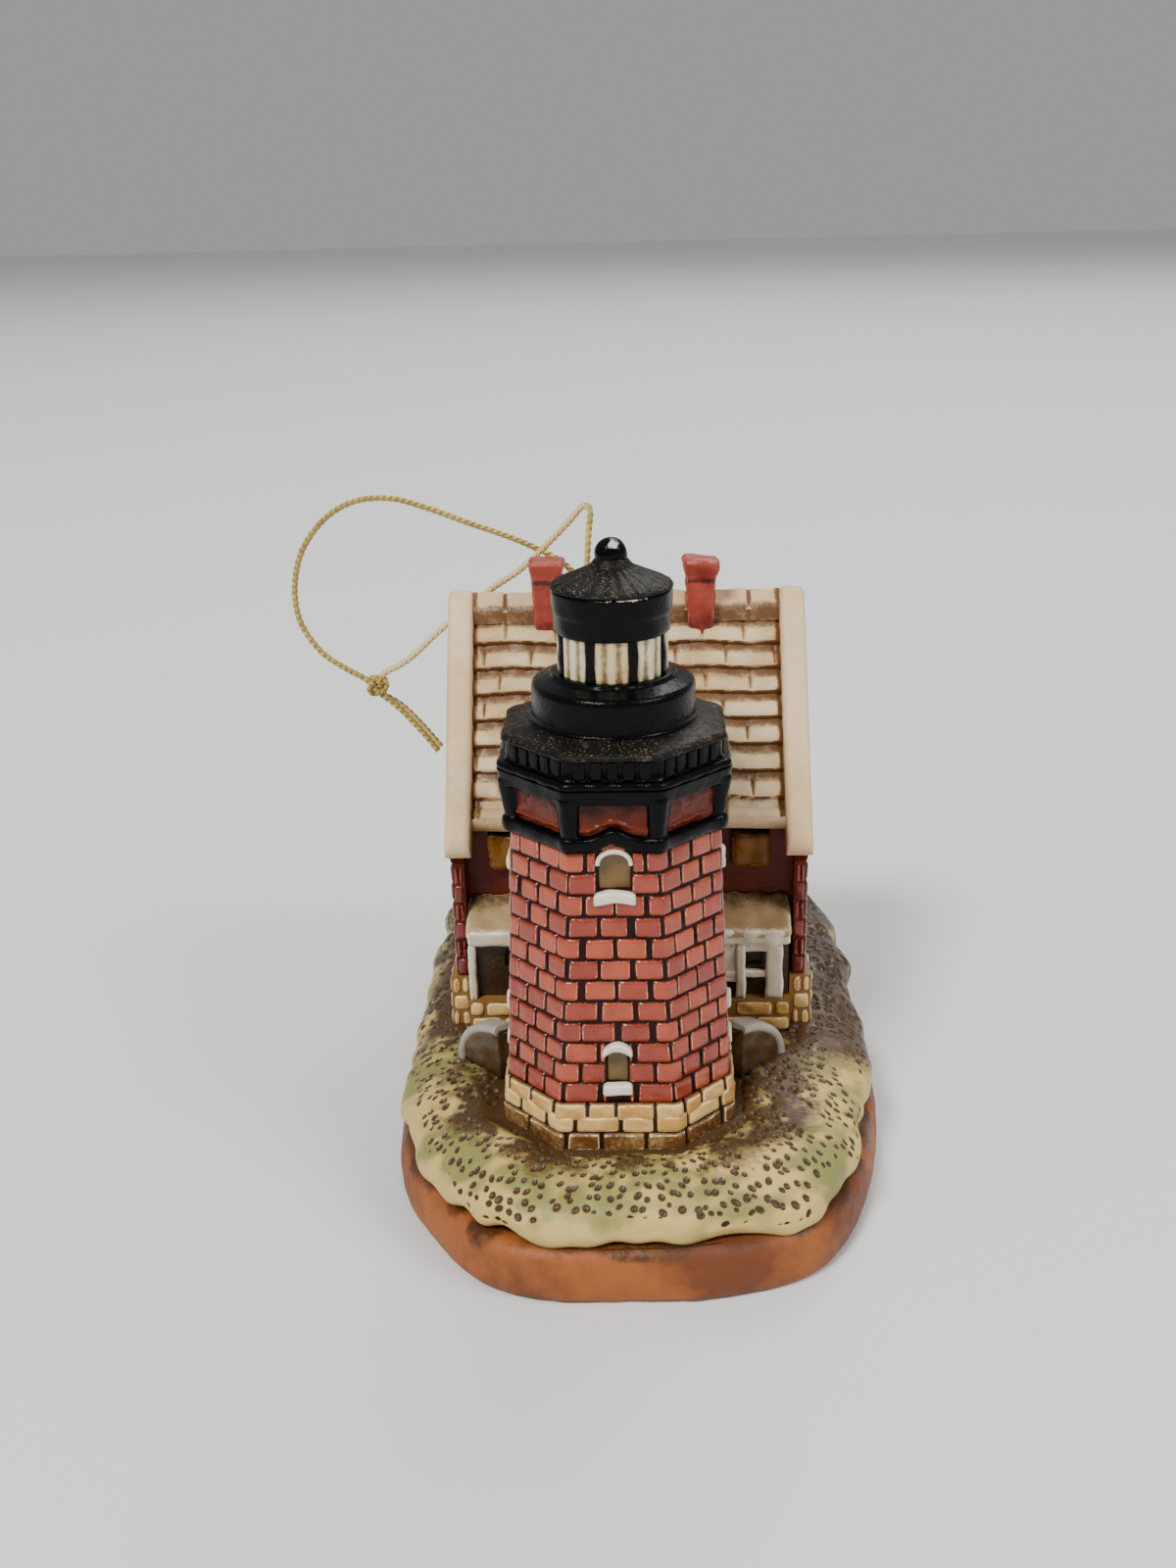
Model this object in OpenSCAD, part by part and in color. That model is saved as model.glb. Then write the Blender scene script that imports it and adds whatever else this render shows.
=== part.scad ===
// Hanging ceramic ornament: a brick lighthouse in front of a keeper's house, on a
// grassy mound with a terracotta plinth, and a loop of metallic cord.
// Millimetres. Origin at the centre of the plinth's underside, +X to the right of the
// tower's front, +Y from the tower towards the house, +Z up.

/* [Base] */
// Width of the terracotta plinth
base_width = 58.3; // [58:0.1:62]
// Depth of the terracotta plinth, front to back
base_depth = 89; // [88:0.5:92]
// Height of the bare terracotta rim
rim_height = 6.2; // [5:0.1:7]
// Height of the grass on which the buildings stand
ground_height = 12; // [11.6:0.1:12.6]
// Wall thickness of the hollow casting
cast_wall = 3; // [2:0.1:3.4]
// Diameter of the drain hole in the underside
drain_diameter = 8; // [5:0.5:12]

/* [Tower] */
// Total height, plinth to finial
total_height = 75.5; // [75:0.1:77]
// Width across the flats of the stone foundation
tower_foundation_width = 25.9; // [25.4:0.1:26]
// Width across the flats of the brick shaft at its foot
shaft_foot_width = 24.6; // [24:0.1:25.2]
// Width across the flats of the brick shaft at its head
shaft_head_width = 22.3; // [21.5:0.1:22.8]
// Height of the top of the stone foundation
foundation_top = 16.4; // [16:0.1:16.8]
// Height of the head of the brick shaft
shaft_top = 45.4; // [45:0.1:45.8]
// Width across the flats of the gallery's lower rim
gallery_width = 24.6; // [24:0.1:25.2]
// Radius of the watch-room drum
drum_radius = 8.7; // [8.2:0.1:9]
// Radius of the lantern over its mullions
lantern_radius = 5.95; // [5.6:0.05:6.1]
// Radius of the lantern roof's rim
roof_rim_radius = 6.45; // [6.3:0.05:6.8]
// Radius of the ball finial
finial_radius = 1.7; // [1.5:0.05:1.9]

/* [House] */
// Half of the house's width over its gable walls
house_half_width = 21.2; // [20.8:0.1:21.6]
// Half of the roof's depth, ridge to eave
roof_half_depth = 19.65; // [19.4:0.05:20.2]
// Height of the roof's ridge
ridge_height = 61.5; // [61:0.1:62.5]
// Pitch of the roof
roof_pitch = 50; // [49:0.5:51]
// Thickness of the roof, square to its slope
roof_thickness = 2.8; // [2.4:0.1:3]
// Courses of shingles on each slope
shingle_courses = 9; // [7:1:10]
// Width of the gable boards
board_width = 3.1; // [2.6:0.1:3.4]
// Width of a chimney's shaft
chimney_width = 3.7; // [3.4:0.1:3.9]

/* [Cord] */
// Diameter of the metallic cord
cord_diameter = 0.86; // [0.7:0.02:1]
// Diameter of the hole through the ridge
cord_hole_diameter = 1.6; // [1.4:0.1:1.8]

/* [Hidden] */

outline_points = 48;

// Places of the buildings on the base
tower_x = -2;
tower_y = -19;
house_x = -0.9;
ridge_y = 15.3;

// Heights up the tower
corbel_top = 52.2;
deck_top = 53.2;
parapet_top = 55.2;
rail_top = 56.6;
drum_top = 61.7;
glazing_top = 66.1;
eave_band_top = 70.4;
finial_z = total_height - finial_radius;
finial_foot = finial_z - 1.1;
foot_chamfer = 0.25;
head_chamfer = 0.293;
parapet_width = 22.6;
face_angles = [0, 90, 180, 270];
octagon_angles = [for (k = [0:7]) 45 * k];

// Reach of a cut that has to pass everything in its way
far = 100;

// Heights and faces of the house
house_foundation_foot = 9.6;
house_foundation_top = 18.3;
house_foundation_step = 0.8;
wing_thickness = 1.4;
wall_front = -1.5;
wing_front = -4.8;
roof_inner_half = house_half_width + 0.6 - board_width;
shingle_step = 0.7;
slope_length = roof_half_depth / cos(roof_pitch);
board_rise = 1.1;
board_overhang = 3.8;
ridge_cap = 1.9;
ridge_cap_rise = 0.2;
ridge_cap_sink = 0.9;
ridge_cap_flat = 0.4;

// Porch
porch_x = -1.05;
porch_half = 19.6;
porch_front = -6.9;
porch_base_top = 15.8;
porch_beam_bottom = 23;
porch_beam_top = 25.1;
porch_roof_back = 28;

// Chimneys
chimney_offset = 9.5;
chimney_y = 13.5;
chimney_foot = 55.5;
chimney_top = 66;
chimney_cap_height = 2;
chimney_flare = 0.5;

// Cord: the hole runs through the ridge along Y, and both strands leave from its middle
hole_x = -6;
hole_z = 59.6;
knot_center = [-34.5, 23.2, 47.2];
knot_radius = 1.6;
cord_sides = 8;
ring_spacing = 2.3;
front_route = [
    [-6, 15.3, 59.6], [-6, 12.5, 59.6], [-6, 11.2, 60.5], [-5.8, 11, 63], [-5.6, 11.4, 66.5],
    [-5.4, 12, 69.5], [-5.2, 13.2, 72.2], [-6.2, 14.3, 72.3], [-8, 15.5, 70.2], [-11.5, 17, 66.5],
    [-14.5, 18, 63.7], [-18, 19.3, 61.2], [-21.5, 20.6, 58.4], [-25.5, 21.8, 55], [-30, 22.6, 50.9],
    [-33.4, 23.5, 48.8], [-35, 23.8, 47.2], [-34, 24, 45.8], [-31.5, 24.2, 44], [-29, 24.3, 41.2],
    [-26.6, 24.5, 38]
];
back_route = [
    [-6, 15.3, 59.6], [-6, 18.2, 59.6], [-6.2, 19.5, 60.4], [-7.2, 19.9, 62.2], [-9, 19.8, 64.2],
    [-11.6, 19.3, 65.9], [-15.7, 20, 67.6], [-20.7, 21, 69.2], [-26, 22, 71], [-31, 23, 72.2],
    [-36, 24, 71.7], [-40.3, 25, 69.2], [-43.6, 25.5, 65], [-45.1, 26, 60], [-44.6, 25.5, 55.4],
    [-42, 24.8, 51.5], [-38.5, 23.8, 49.3], [-36, 22.9, 48.2], [-34.4, 22.6, 46.6], [-31.6, 22.4, 44.2],
    [-29, 22, 41.4], [-26.6, 21.6, 38.4]
];

// ---------------------------------------------------------------- shared shapes

// A smooth wavy oblong before it is sized, bluntest at the back and least so at the front left
function wavy_point(t) =
    let (n = sin(t) > 0 ? 6 : cos(t) < 0 ? 2.8 : 3.1,
         wave = 1 + 0.012 * sin(3 * t + 40) + 0.009 * sin(7 * t + 100))
    [wave * sign(cos(t)) * pow(abs(cos(t)), 2 / n),
     wave * sign(sin(t)) * pow(abs(sin(t)), 2 / n)];

wavy_points = [for (i = [0:outline_points - 1]) wavy_point(360 * i / outline_points)];
wavy_low = [min([for (p = wavy_points) p.x]), min([for (p = wavy_points) p.y])];
wavy_high = [max([for (p = wavy_points) p.x]), max([for (p = wavy_points) p.y])];

// The base's outline, drawn in by an inset, as points on a plane or a ring at a height
function base_outline(inset) = [
    for (p = wavy_points) [
        ((p.x - wavy_low.x) / (wavy_high.x - wavy_low.x) - 0.5) * (base_width - 2 * inset),
        ((p.y - wavy_low.y) / (wavy_high.y - wavy_low.y) - 0.5) * (base_depth - 2 * inset)]
];
function base_ring(z, inset) = [for (p = base_outline(inset)) [p.x, p.y, z]];

// An octagon with its corners cut by a share of its width
function octagon(width, chamfer) =
    let (h = width / 2, c = h - chamfer * width)
    [[h, -c], [h, c], [c, h], [-c, h], [-h, c], [-h, -c], [-c, -h], [c, -h]];
function octagon_ring(z, width, chamfer = head_chamfer) =
    [for (p = octagon(width, chamfer)) [p.x, p.y, z]];

// Closed solid through rings of equally many points, from the lowest ring up, each
// running counter-clockwise seen from above
module loft(rings) {
    n = len(rings[0]);
    last = len(rings) - 1;
    bottom = [for (i = [0:n - 1]) i];
    top = [for (i = [n - 1:-1:0]) last * n + i];
    sides = [
        for (k = [0:last - 1], i = [0:n - 1])
            let (j = (i + 1) % n, low = k * n, high = low + n)
            each [[low + i, high + i, high + j], [low + i, high + j, low + j]]
    ];
    polyhedron([for (ring = rings) each ring], concat([bottom, top], sides));
}

// A box given by its two corners
module box_between(low, high) {
    translate(low) cube(high - low);
}

// A Y-Z outline carried along X
module extrude_x(from_x, to_x) {
    translate([from_x, 0, 0])
        rotate([90, 0, 90])
            linear_extrude(to_x - from_x)
                children();
}

module at_tower() {
    translate([tower_x, tower_y, 0]) children();
}

// ---------------------------------------------------------------- base

module drain_hole() {
    translate([0, 0, -1]) cylinder(d = drain_diameter, h = cast_wall + 2, $fn = 64);
}

module plinth() {
    color("peru") difference() {
        loft([base_ring(0, 0.8), base_ring(1.2, 0.1), base_ring(3.2, 0),
              base_ring(5.2, 0.4), base_ring(rim_height, 1.4)]);
        translate([0, 0, cast_wall])
            linear_extrude(rim_height) polygon(base_outline(cast_wall + 2));
        drain_hole();
    }
}

module grass_mound() {
    color("darkkhaki") difference() {
        loft([base_ring(rim_height, 1.9), base_ring(7.4, 1.1), base_ring(9, 1.3),
              base_ring(10.4, 2.4), base_ring(11.4, 4.2), base_ring(ground_height, 7)]);
        translate([0, 0, rim_height - 1])
            linear_extrude(ground_height - cast_wall - rim_height + 1)
                polygon(base_outline(cast_wall + 3));
        foundation_ring();
    }
}

// ---------------------------------------------------------------- tower

function shaft_width(z) =
    let (share = (z - foundation_top) / (shaft_top - foundation_top))
    shaft_foot_width + (shaft_head_width - shaft_foot_width) * share;

module tower_foundation() {
    color("burlywood") at_tower() difference() {
        loft([octagon_ring(ground_height, tower_foundation_width, foot_chamfer),
              octagon_ring(foundation_top, tower_foundation_width - 0.5, foot_chamfer)]);
        translate([0, 0, ground_height - 1])
            linear_extrude(foundation_top)
                polygon(octagon(tower_foundation_width - 2 * cast_wall - 1, foot_chamfer));
    }
}

// Window sizes: [bottom of the sill, top of the sill, springing of the arch, opening width]
lower_window = [17.4, 18.9, 22.4, 1.9];
upper_window = [39.6, 41.1, 43.15, 3.3];
recess_depth = 1.1;
pane_thickness = 0.4;
trim_rise = 0.5;
lintel_width = 0.55;

// Runs children on the tower's faces at both window heights; the back keeps only the
// upper window, because the porch stands against its foot
module at_windows() {
    for (angle = face_angles, $window = angle == 180 ? [upper_window] : [lower_window, upper_window])
        rotate([0, 0, angle])
            translate([0, -shaft_width($window[2]) / 2, 0])
                children();
}

// An X-Z outline carried from an outer to an inner depth behind a face that looks along -Y
module extrude_into(outer, inner) {
    translate([0, inner, 0])
        rotate([90, 0, 0])
            linear_extrude(inner - outer)
                children();
}

// A vertical slab with a round head
module arched_slab(width, foot, spring, outer, inner) {
    extrude_into(outer, inner) {
        translate([-width / 2, foot]) square([width, spring - foot]);
        translate([0, spring]) circle(d = width, $fn = 32);
    }
}

module window_recess() {
    arched_slab($window[3], $window[1], $window[2], -1, recess_depth);
}

module window_pane() {
    arched_slab($window[3], $window[1], $window[2], recess_depth - pane_thickness, recess_depth);
}

module window_lintel() {
    width = $window[3] + 2 * lintel_width;
    extrude_into(-trim_rise, recess_depth - pane_thickness)
        translate([0, $window[2]])
            difference() {
                circle(d = width, $fn = 32);
                circle(d = $window[3], $fn = 32);
                translate([-width, -2 * width]) square(2 * width);
            }
}

module window_sill() {
    half = $window[3] / 2 + lintel_width;
    box_between([-half, -trim_rise - 0.2, $window[0]], [half, recess_depth - pane_thickness, $window[1]]);
}

module tower_shaft() {
    color("indianred") at_tower() difference() {
        loft([octagon_ring(foundation_top, shaft_foot_width, foot_chamfer),
              octagon_ring(shaft_top, shaft_head_width)]);
        loft([octagon_ring(foundation_top - 1, shaft_foot_width - 2 * cast_wall, foot_chamfer),
              octagon_ring(shaft_top + 1, shaft_head_width - 2 * cast_wall)]);
        at_windows() {
            window_recess();
            window_lintel();
            window_sill();
        }
    }
}

module tower_window_panes() {
    color("olive") at_tower() at_windows() window_pane();
}

module tower_window_lintels() {
    color("ivory") at_tower() at_windows() window_lintel();
}

module tower_window_sills() {
    color("ivory") at_tower() at_windows() window_sill();
}

// The corbel flares from the shaft's head to the gallery's rim
corbel_waist = 47;
corbel_shoulder = 51;
panel_face_shrink = 1;
panel_back_shrink = 2.2;

module corbel_shell(shrink) {
    loft([octagon_ring(shaft_top, shaft_head_width - shrink),
          octagon_ring(corbel_waist, shaft_head_width + 0.3 - shrink),
          octagon_ring(corbel_shoulder, gallery_width - 0.5 - shrink),
          octagon_ring(corbel_top, gallery_width - shrink)]);
}

panel_half_width = 3.35;
panel_foot = 46.4;
panel_head = 50.6;

module panel_openings() {
    for (angle = octagon_angles)
        rotate([0, 0, angle])
            box_between([-panel_half_width, -gallery_width, panel_foot],
                        [panel_half_width, -shaft_head_width / 3, panel_head]);
}

module corbel_frame() {
    color([0.08, 0.08, 0.09]) at_tower() difference() {
        corbel_shell(0);
        translate([0, 0, shaft_top - 1])
            linear_extrude(corbel_top - shaft_top - 1)
                polygon(octagon(shaft_head_width - 2 * cast_wall, head_chamfer));
        difference() {
            panel_openings();
            corbel_shell(panel_back_shrink);
        }
    }
}

module corbel_panels() {
    color("sienna") at_tower() difference() {
        intersection() {
            panel_openings();
            corbel_shell(panel_face_shrink);
        }
        corbel_shell(panel_back_shrink);
    }
}

module gallery_deck() {
    color([0.08, 0.08, 0.09]) at_tower()
        loft([octagon_ring(corbel_top, gallery_width - 0.3),
              octagon_ring(corbel_top + 0.35, gallery_width),
              octagon_ring(deck_top - 0.3, gallery_width),
              octagon_ring(deck_top, gallery_width - 0.5)]);
}

module gallery_parapet() {
    color([0.1, 0.1, 0.11]) at_tower()
        translate([0, 0, deck_top])
            linear_extrude(parapet_top - deck_top)
                polygon(octagon(parapet_width, head_chamfer));
}

balusters_per_face = 5;
baluster_pitch = 1.65;
baluster_width = 1.2;
baluster_rise = 0.4;

module gallery_balusters() {
    color([0.15, 0.14, 0.13]) at_tower()
        for (angle = octagon_angles, k = [0:balusters_per_face - 1])
            rotate([0, 0, angle])
                translate([(k - (balusters_per_face - 1) / 2) * baluster_pitch,
                           -parapet_width / 2, deck_top])
                    box_between([-baluster_width / 2, -baluster_rise, 0],
                                [baluster_width / 2, 0, parapet_top - deck_top]);
}

module gallery_rail() {
    color([0.12, 0.11, 0.1]) at_tower()
        loft([octagon_ring(parapet_top, parapet_width + 1),
              octagon_ring(parapet_top + 0.5, parapet_width + 0.9),
              octagon_ring(parapet_top + 0.8, parapet_width),
              octagon_ring(rail_top, 2 * drum_radius + 0.9)]);
}

module watch_room_drum() {
    color([0.1, 0.1, 0.11]) at_tower()
        rotate_extrude($fn = 96)
            polygon([[0, rail_top], [drum_radius, rail_top], [drum_radius, drum_top - 1.6],
                     [drum_radius - 0.25, drum_top - 1.15], [drum_radius - 0.8, drum_top - 0.9],
                     [lantern_radius + 0.7, drum_top - 0.5], [lantern_radius + 0.4, drum_top],
                     [0, drum_top]]);
}

mullion_width = 0.95;
mullion_depth = 0.7;

module mullion_bars(outer) {
    for (angle = octagon_angles)
        rotate([0, 0, angle + 22.5])
            box_between([lantern_radius - mullion_depth, -mullion_width / 2, drum_top],
                        [outer, mullion_width / 2, glazing_top]);
}

module lantern_glazing() {
    color("cornsilk") at_tower() difference() {
        translate([0, 0, drum_top])
            cylinder(r = lantern_radius - 0.35, h = glazing_top - drum_top, $fn = 96);
        mullion_bars(lantern_radius + 1);
    }
}

module lantern_mullions() {
    color([0.08, 0.08, 0.09]) at_tower() mullion_bars(lantern_radius);
}

// The eave band has a small step half-way up
eave_band_step = 68;

module lantern_eave_band() {
    color([0.08, 0.08, 0.09]) at_tower()
        rotate_extrude($fn = 96)
            polygon([[0, glazing_top], [lantern_radius + 0.1, glazing_top],
                     [lantern_radius + 0.2, eave_band_step], [lantern_radius + 0.35, eave_band_step + 0.2],
                     [roof_rim_radius - 0.1, eave_band_top], [0, eave_band_top]]);
}

module lantern_roof() {
    color([0.2, 0.19, 0.18]) at_tower()
        rotate_extrude($fn = 96)
            polygon([[0, eave_band_top], [roof_rim_radius - 0.1, eave_band_top],
                     [roof_rim_radius, eave_band_top + 0.2],
                     [roof_rim_radius - 0.4, eave_band_top + 0.5], [3.7, eave_band_top + 1.5],
                     [2, finial_foot - 0.1], [1.35, finial_foot], [0, finial_foot]]);
}

module finial_ball() {
    color([0.12, 0.12, 0.12]) at_tower() difference() {
        translate([0, 0, finial_z]) sphere(r = finial_radius, $fn = 48);
        translate([0, 0, finial_foot - 5]) cylinder(r = 3, h = 5, $fn = 48);
    }
}

// ---------------------------------------------------------------- house

// Height of the roof's outer plane over a point y, lowered square to the slope
function roof_z(y, sink) = ridge_height - abs(y - ridge_y) * tan(roof_pitch) - sink / cos(roof_pitch);
function mirrored_y(y) = 2 * ridge_y - y;

// The part of a Y-Z outline that lies under the roof
module under_roof(foot, front) {
    polygon([[front, foot], [mirrored_y(front), foot], [mirrored_y(front), roof_z(front, roof_thickness)],
             [ridge_y, roof_z(ridge_y, roof_thickness)], [front, roof_z(front, roof_thickness)]]);
}

// The foundation's ring of stone is let into the mound, which falls away under its corners
module foundation_ring() {
    half = house_half_width + house_foundation_step;
    difference() {
        box_between([house_x - half, wing_front - 0.5, house_foundation_foot],
                    [house_x + half, mirrored_y(wing_front) + 0.5, house_foundation_top]);
        box_between([house_x - half + cast_wall, wall_front + cast_wall, 0],
                    [house_x + half - cast_wall, mirrored_y(wall_front + cast_wall), far]);
        porch_bay(0, wall_front);
        box_between([house_x - house_half_width + wing_thickness, mirrored_y(wall_front), 0],
                    [house_x + house_half_width - wing_thickness, far, far]);
    }
}

module house_foundation() {
    color("burlywood") foundation_ring();
}

// The bay between the wing walls that the porch fills
module porch_bay(foot, back) {
    box_between([porch_x - porch_half, -far, foot], [porch_x + porch_half, back, far]);
}

// Side windows: [centre y, sill height, arch springing]; the upper one is in the gable
ground_sill = 22;
ground_spring = 28;
side_windows = [[6, ground_sill, ground_spring], [24.6, ground_sill, ground_spring], [ridge_y, 38, 43]];
back_windows = [-12, 12];
window_half = 2.2;
glass_front = -0.6;
opening_back = -1;
surround_width = 0.9;
surround_rise = 0.4;
cavity_top = 54;

module side_openings(outer, inner) {
    for (side = [-1, 1], window = side_windows)
        extrude_x(house_x + side * (house_half_width + (side > 0 ? inner : outer)),
                  house_x + side * (house_half_width + (side > 0 ? outer : inner)))
            window_outline(window[0], window[1], window[2], 0);
}

module window_outline(center, sill, spring, grow) {
    half = window_half + grow;
    translate([center - half, sill - grow]) square([2 * half, spring - sill + grow]);
    translate([center, spring]) circle(r = half, $fn = 40);
}

module back_openings(outer, inner) {
    for (x = back_windows)
        translate([house_x + x, mirrored_y(wall_front) + outer, 0])
            rotate([90, 0, 0])
                linear_extrude(outer - inner)
                    window_outline(0, ground_sill, ground_spring, 0);
}

module house_walls() {
    half = house_half_width;
    color("firebrick") difference() {
        union() {
            extrude_x(house_x - half, house_x + half) under_roof(house_foundation_top, wall_front);
            for (side = [-1, 1])
                extrude_x(house_x + side * half - (side > 0 ? wing_thickness : 0),
                          house_x + side * half + (side > 0 ? 0 : wing_thickness))
                    under_roof(house_foundation_top, wing_front);
        }
        difference() {
            extrude_x(house_x - half + cast_wall, house_x + half - cast_wall)
                under_roof(house_foundation_top - 1, wall_front + cast_wall);
            box_between([-far, -far, cavity_top], [far, far, ridge_height]);
        }
        side_openings(1, opening_back);
        back_openings(1, opening_back);
        house_window_surrounds();
        front_window_blocks();
        chimney_shafts();
    }
}

module house_window_panes() {
    color("saddlebrown") {
        side_openings(glass_front, opening_back);
        back_openings(glass_front, opening_back);
    }
}

// Flat white surrounds let into the brickwork around the side and back windows
module surround_outline(center, sill, spring) {
    difference() {
        window_outline(center, sill, spring, surround_width);
        window_outline(center, sill, spring, 0);
    }
}

module house_window_surrounds() {
    for (side = [-1, 1], window = side_windows)
        translate([side * house_half_width, 0, 0])
            extrude_x(house_x - surround_rise, house_x + surround_rise)
                surround_outline(window[0], window[1], window[2]);
    for (x = back_windows)
        translate([house_x + x, mirrored_y(wall_front) + surround_rise, 0])
            rotate([90, 0, 0])
                linear_extrude(2 * surround_rise)
                    surround_outline(0, ground_sill, ground_spring);
}

module house_window_trims() {
    color("ivory") house_window_surrounds();
}

// Glazed brown window boxes high on the front wall, tucked under the eave
front_window_offset = 14.7;
front_window_half = 2.35;
front_window_depth = 1.6;
front_window_foot = 31.6;
front_window_head = 36.1;

module front_window_blocks() {
    for (side = [-1, 1])
        translate([house_x + side * front_window_offset, wall_front, 0])
            box_between([-front_window_half, -front_window_depth, front_window_foot],
                        [front_window_half, 1, front_window_head]);
}

module front_windows() {
    color("sienna") front_window_blocks();
}

// A point on a slope, at a distance down from the ridge and sunk square to the slope
function slope_point(along, sink) = [
    ridge_y - along * cos(roof_pitch) + sink * sin(roof_pitch),
    ridge_height - along * sin(roof_pitch) - sink * cos(roof_pitch)
];

// Stepped section of one slope: each course's butt stands proud of the next one down, and
// the ridge cap takes the place of the first course
module slope_section() {
    course = slope_length / shingle_courses;
    steps = [
        for (k = [1:shingle_courses - 1])
            each [slope_point(k * course, shingle_step), slope_point((k + 1) * course, 0)]
    ];
    polygon(concat(
        [[ridge_y, roof_z(ridge_y, roof_thickness)], [ridge_y, roof_z(ridge_y, shingle_step)]],
        steps,
        [slope_point(slope_length, roof_thickness)]
    ));
}

module cord_hole() {
    translate([hole_x, ridge_y, hole_z])
        rotate([90, 0, 0])
            cylinder(d = cord_hole_diameter, h = 3 * roof_thickness, center = true, $fn = 48);
}

// The capping over the ridge, let into the top of both slopes
module ridge_section() {
    edge = ridge_y - ridge_cap;
    polygon([[edge, roof_z(edge, -ridge_cap_rise)], [edge, roof_z(edge, ridge_cap_sink)],
             [ridge_y, roof_z(ridge_y, ridge_cap_sink)], [mirrored_y(edge), roof_z(edge, ridge_cap_sink)],
             [mirrored_y(edge), roof_z(edge, -ridge_cap_rise)],
             [mirrored_y(ridge_y - ridge_cap_flat), ridge_height], [ridge_y - ridge_cap_flat, ridge_height]]);
}

module roof_slope() {
    difference() {
        extrude_x(house_x - roof_inner_half, house_x + roof_inner_half) children();
        extrude_x(house_x - roof_inner_half - 1, house_x + roof_inner_half + 1) ridge_section();
        chimney_shafts();
        cord_hole();
    }
}

module roof_front_slope() {
    color("wheat") roof_slope() slope_section();
}

module roof_back_slope() {
    color("wheat") roof_slope() translate([2 * ridge_y, 0]) mirror([1, 0]) slope_section();
}

module roof_ridge() {
    color("wheat") difference() {
        extrude_x(house_x - roof_inner_half, house_x + roof_inner_half) ridge_section();
        chimney_shafts();
        cord_hole();
    }
}

// A gable board: a chevron with round ends that follows both slopes
module board_section() {
    end = slope_length + board_overhang;
    mid = (roof_thickness - board_rise) / 2;
    for (flip = [0, 1])
        translate([flip * 2 * ridge_y, 0]) mirror([flip, 0]) {
            polygon([[ridge_y, roof_z(ridge_y, -board_rise)], slope_point(end - mid, -board_rise),
                     slope_point(end - mid, roof_thickness), [ridge_y, roof_z(ridge_y, roof_thickness)]]);
            translate(slope_point(end - mid, mid)) circle(r = (roof_thickness + board_rise) / 2, $fn = 32);
        }
}

module gable_board(side) {
    inner = house_x + side * roof_inner_half;
    outer = inner + side * board_width;
    color("antiquewhite") extrude_x(min(inner, outer), max(inner, outer)) board_section();
}

module gable_board_left() {
    gable_board(-1);
}

module gable_board_right() {
    gable_board(1);
}

// The shaft goes down through the slope; the cap flares outward to its top
module chimney_shaft(side) {
    half = chimney_width / 2;
    translate([house_x + side * chimney_offset, chimney_y, 0])
        box_between([-half, -half, chimney_foot], [half, half, chimney_top - chimney_cap_height]);
}

module chimney_shafts() {
    for (side = [-1, 1])
        chimney_shaft(side);
}

module chimney(side) {
    half = chimney_width / 2;
    cap_foot = chimney_top - chimney_cap_height;
    color("firebrick") {
        chimney_shaft(side);
        translate([house_x + side * chimney_offset, chimney_y, 0])
            loft([square_ring(cap_foot, half), square_ring(cap_foot + 0.8, half + chimney_flare),
                  square_ring(chimney_top - 0.3, half + chimney_flare),
                  square_ring(chimney_top, half + 0.2)]);
    }
}

function square_ring(z, half) = [[half, -half, z], [half, half, z], [-half, half, z], [-half, -half, z]];

module chimney_left() {
    chimney(-1);
}

module chimney_right() {
    chimney(1);
}

// ---------------------------------------------------------------- porch and steps

// Room for the tower's foot, which stands against the porch and the steps
module tower_clearance(gap) {
    at_tower() linear_extrude(far) polygon(octagon(tower_foundation_width + 2 * gap, foot_chamfer));
}

porch_gap = 0.05;

module porch_block(front, back, foot, head, inset = 0) {
    box_between([porch_x - porch_half + inset, front, foot], [porch_x + porch_half - inset, back, head]);
}

module porch_base() {
    color("burlywood") difference() {
        porch_block(porch_front - 0.2, wall_front, ground_height, porch_base_top);
        tower_clearance(porch_gap);
    }
}

// Shallow arched recesses in the porch's wall, and the rails between its posts
porch_windows = [-15.2, 14.2];
porch_window_width = 2;
porch_window_sill = 19.8;
porch_window_spring = 21.2;
porch_wall_front = porch_front + 1.5;
porch_rail_foot = 18.4;
porch_rail_head = 19.4;

module porch_wall() {
    color("saddlebrown") difference() {
        porch_block(porch_wall_front, wall_front, porch_base_top, porch_beam_bottom, 0.2);
        tower_clearance(porch_gap);
        for (x = porch_windows)
            translate([x, porch_wall_front, 0])
                arched_slab(porch_window_width, porch_window_sill, porch_window_spring, -1, 0.8);
    }
}

// Corner posts and one beside the tower on each side
post_width = 1.7;
post_places = [-19.6, -16.9, 12.3, 16.6];

module porch_posts() {
    color("ivory")
        for (x = post_places)
            translate([x, porch_front + 0.2, 0])
                box_between([-post_width / 2, 0, porch_base_top], [post_width / 2, 1.3, porch_beam_bottom]);
}

module porch_rails() {
    color("ivory")
        for (bay = [[post_places[0], post_places[1]], [post_places[2], post_places[3]]])
            box_between([bay[0] + post_width / 2, porch_front + 0.6, porch_rail_foot],
                        [bay[1] - post_width / 2, porch_wall_front, porch_rail_head]);
}

module porch_beam() {
    color("ivory") difference() {
        porch_block(porch_front - 0.1, porch_front + 1.6, porch_beam_bottom, porch_beam_top);
        tower_clearance(porch_gap);
    }
}

module porch_roof() {
    color("tan") difference() {
        extrude_x(porch_x - porch_half, porch_x + porch_half)
            polygon([[porch_front + 1.6, porch_beam_bottom], [wall_front, porch_beam_bottom],
                     [wall_front, porch_roof_back], [porch_front + 0.9, porch_beam_top + 0.9],
                     [porch_front + 0.1, porch_beam_top], [porch_front + 1.6, porch_beam_top]]);
        tower_clearance(porch_gap);
    }
}

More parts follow.
